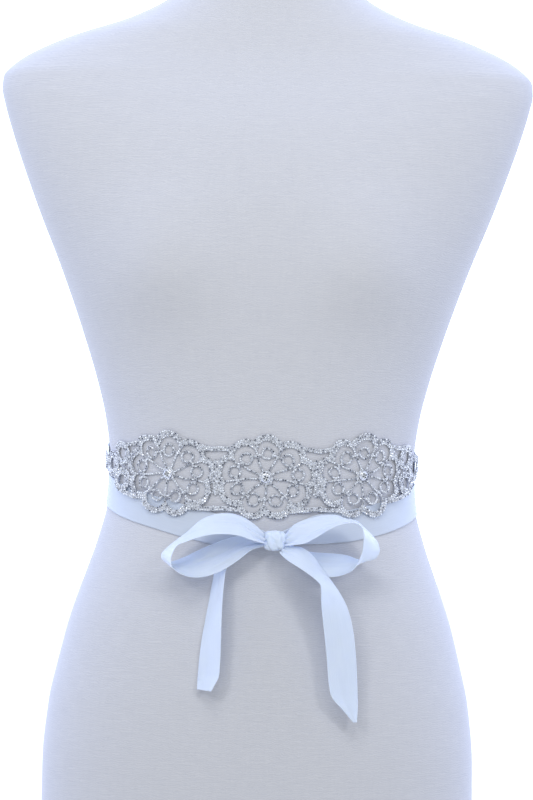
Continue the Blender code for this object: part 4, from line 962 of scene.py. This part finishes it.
def centreCrystal(name, node, k):
    # a brilliant cut in a silver cup: girdle, star of kites and table, with one ring turned by half a facet.
    # Its upper facets and table carry a painted reflection: facets painted lighter and darker in turn, and four dark
    # arms painted across the table, the dark side of the room that the foil would mirror
    c = crystalShape
    n = c["sides"]
    rings = c["rings"]
    t = np.stack([(np.arange(n) + turn) * 2.0 * math.pi / n for _, _, turn in rings])
    r = np.array([ring[0] for ring in rings])[:, None] * c["radius"]
    h = np.array([ring[1] for ring in rings])[:, None] * c["radius"] * c["tall"]
    x, z = handPlace([(k * laceShape["pitch"], 0.0)]).T
    seat, right, up, out = (v[0] for v in seatFrames(x, z, c["seat"]))
    points = seat + (r * np.cos(t))[..., None] * right + (r * np.sin(t))[..., None] * up
    points = points + (h + 0.0 * t)[..., None] * out
    points = np.concatenate([points.reshape(-1, 3), [points[-1].mean(axis=0)]])
    j = np.arange(n)
    last = (len(rings) - 1) * n
    table = np.stack([np.full(n, last + n), last + j, last + (j + 1) % n], axis=-1)
    bottom = np.stack([np.zeros(n - 2, int), j[2:], j[1:-1]], axis=-1)
    walls = gridFaces(len(rings) - 1, n, wrap=True)
    a, b = last - n, last
    star = np.concatenate([np.stack([a + j, b + (j + 1) % n, b + j], axis=-1),
                           np.stack([a + j, a + (j + 1) % n, b + (j + 1) % n], axis=-1)])
    rng = np.random.default_rng(40 + k)
    # the painted reflection, face by face: plain on the walls below, light and dark in turn above, then the kites, the
    # table's four dark arms and a plain base
    paintedReflectionShades = np.concatenate([
        np.full(4 * n, 0.5), np.where(j % 2 == 0, 1.0, 0.45) * rng.uniform(0.8, 1.0, n),
        np.where(j % 4 < 2, 0.75, 1.0), rng.beta(0.8, 0.5, n), np.where(j % 4 < 2, 0.0, 0.8), np.full(n - 2, 0.5),
    ])
    slots = np.concatenate([np.repeat([1, 1, 1, 0, 0], n), np.zeros(3 * n), np.ones(n - 2)])
    piece = makePiece(name, points, [walls, np.concatenate([star, table, bottom])], [stoneGlass, cupSilver],
                      slots=slots, smooth=False, paintedReflection=paintedReflectionShades)
    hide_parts(node)
    return piece


crystalPieces = [centreCrystal("crystalLeft", "crystal_left", -1), centreCrystal("crystalMiddle", "crystal_centre", 0),
                 centreCrystal("crystalRight", "crystal_right", 1)]
print("crystals made")


# Each bow piece with its length and area, read back; nothing more is done with them
for key, held in (("leftLoop", "folded"), ("rightLoop", "folded"), ("leftTail", "hung"), ("rightTail", "hung")):
    piece, length, area = bowPieces[key]


# Studio: a pale floor, a surround that is bright behind the form and dim in front of it, a broad soft light high in
# front and a small one to each side. Each light is its place, what it aims at, its width, height and power
studio = {
    "floor": "#FFFFFF", "floorEdge": 3.0, "floorHeight": -0.0006, "floorParts": 24,
    "behind": (1.72, 1.95, 2.72, 1.0), "front": (0.395, 0.402, 0.412, 1.0), "below": (0.77, 0.785, 0.805, 1.0),
    "lights": [
        ("key", (-0.15, -1.5, 1.75), (0.0, 0.0, 0.50), 1.1, 0.8, 11.2),
        ("frontLeft", (-1.0, -2.0, 1.3), (0.0, 0.0, 0.28), 0.35, 0.5, 8.0),
        ("frontRight", (1.1, -2.0, 1.2), (0.0, 0.0, 0.28), 0.35, 0.5, 8.0),
    ],
}


def studioSetup():
    # the surround's colour goes by direction: from front to behind along Y, then from below upwards along Z
    n = studio["floorParts"]
    grid = np.linspace(-studio["floorEdge"], studio["floorEdge"], n)
    x, y = np.meshgrid(grid, grid, indexing="ij")
    points = np.stack([x.ravel(), y.ravel(), np.full(n * n, studio["floorHeight"])], axis=-1)
    mesh = bpy.data.meshes.new("floor")
    mesh.from_pydata(points.tolist(), [], gridFaces(n, n)[:, ::-1].tolist())
    floor = bpy.data.objects.new("floor", mesh)
    mesh.materials.append(newMaterial("paleMattFloor", {"Roughness": 0.8, "Base Color": toLinear(studio["floor"])})[0])
    scene.collection.objects.link(floor)
    floor.visible_diffuse = False  # it looks white, but neither throws light up on the form nor keeps any from it
    floor.visible_shadow = False
    scene.world = bpy.data.worlds.new("studio")
    scene.world.use_nodes = True
    tree = scene.world.node_tree
    tree.nodes.clear()
    place = addNode(tree, "ShaderNodeTexCoord")
    split = addNode(tree, "ShaderNodeSeparateXYZ", {}, {"Vector": place.outputs["Generated"]})
    toBack = addNode(tree, "ShaderNodeMapRange", {"interpolation_type": "SMOOTHSTEP"}, {
        "Value": split.outputs["Y"], "From Min": -0.5, "From Max": 0.35,
    })
    around = addNode(tree, "ShaderNodeMix", {"data_type": "RGBA"}, {
        "Factor": toBack.outputs["Result"], "A": studio["front"], "B": studio["behind"],
    })
    toBelow = addNode(tree, "ShaderNodeMapRange", {"interpolation_type": "SMOOTHSTEP"}, {
        "Value": split.outputs["Z"], "From Min": -0.40, "From Max": -0.12,
    })
    around = addNode(tree, "ShaderNodeMix", {"data_type": "RGBA"}, {
        "Factor": toBelow.outputs["Result"], "A": studio["below"], "B": around.outputs["Result"],
    })
    glow = addNode(tree, "ShaderNodeBackground", {}, {"Color": around.outputs["Result"]})
    addNode(tree, "ShaderNodeOutputWorld", {}, {"Surface": glow.outputs["Background"]})
    for name, at, aim, wide, tall, power in studio["lights"]:
        data = bpy.data.lights.new(name, "AREA")
        data.shape = "RECTANGLE"
        data.size, data.size_y = wide, tall
        data.energy = power
        lamp = bpy.data.objects.new(name, data)
        lamp.location = at
        toward = np.array(aim) - np.array(at)
        down = math.acos(-toward[2] / np.linalg.norm(toward))
        lamp.rotation_mode = "XYZ"
        lamp.rotation_euler = (down, 0.0, math.atan2(toward[0], -toward[1]) + math.pi)
        scene.collection.objects.link(lamp)


studioSetup()
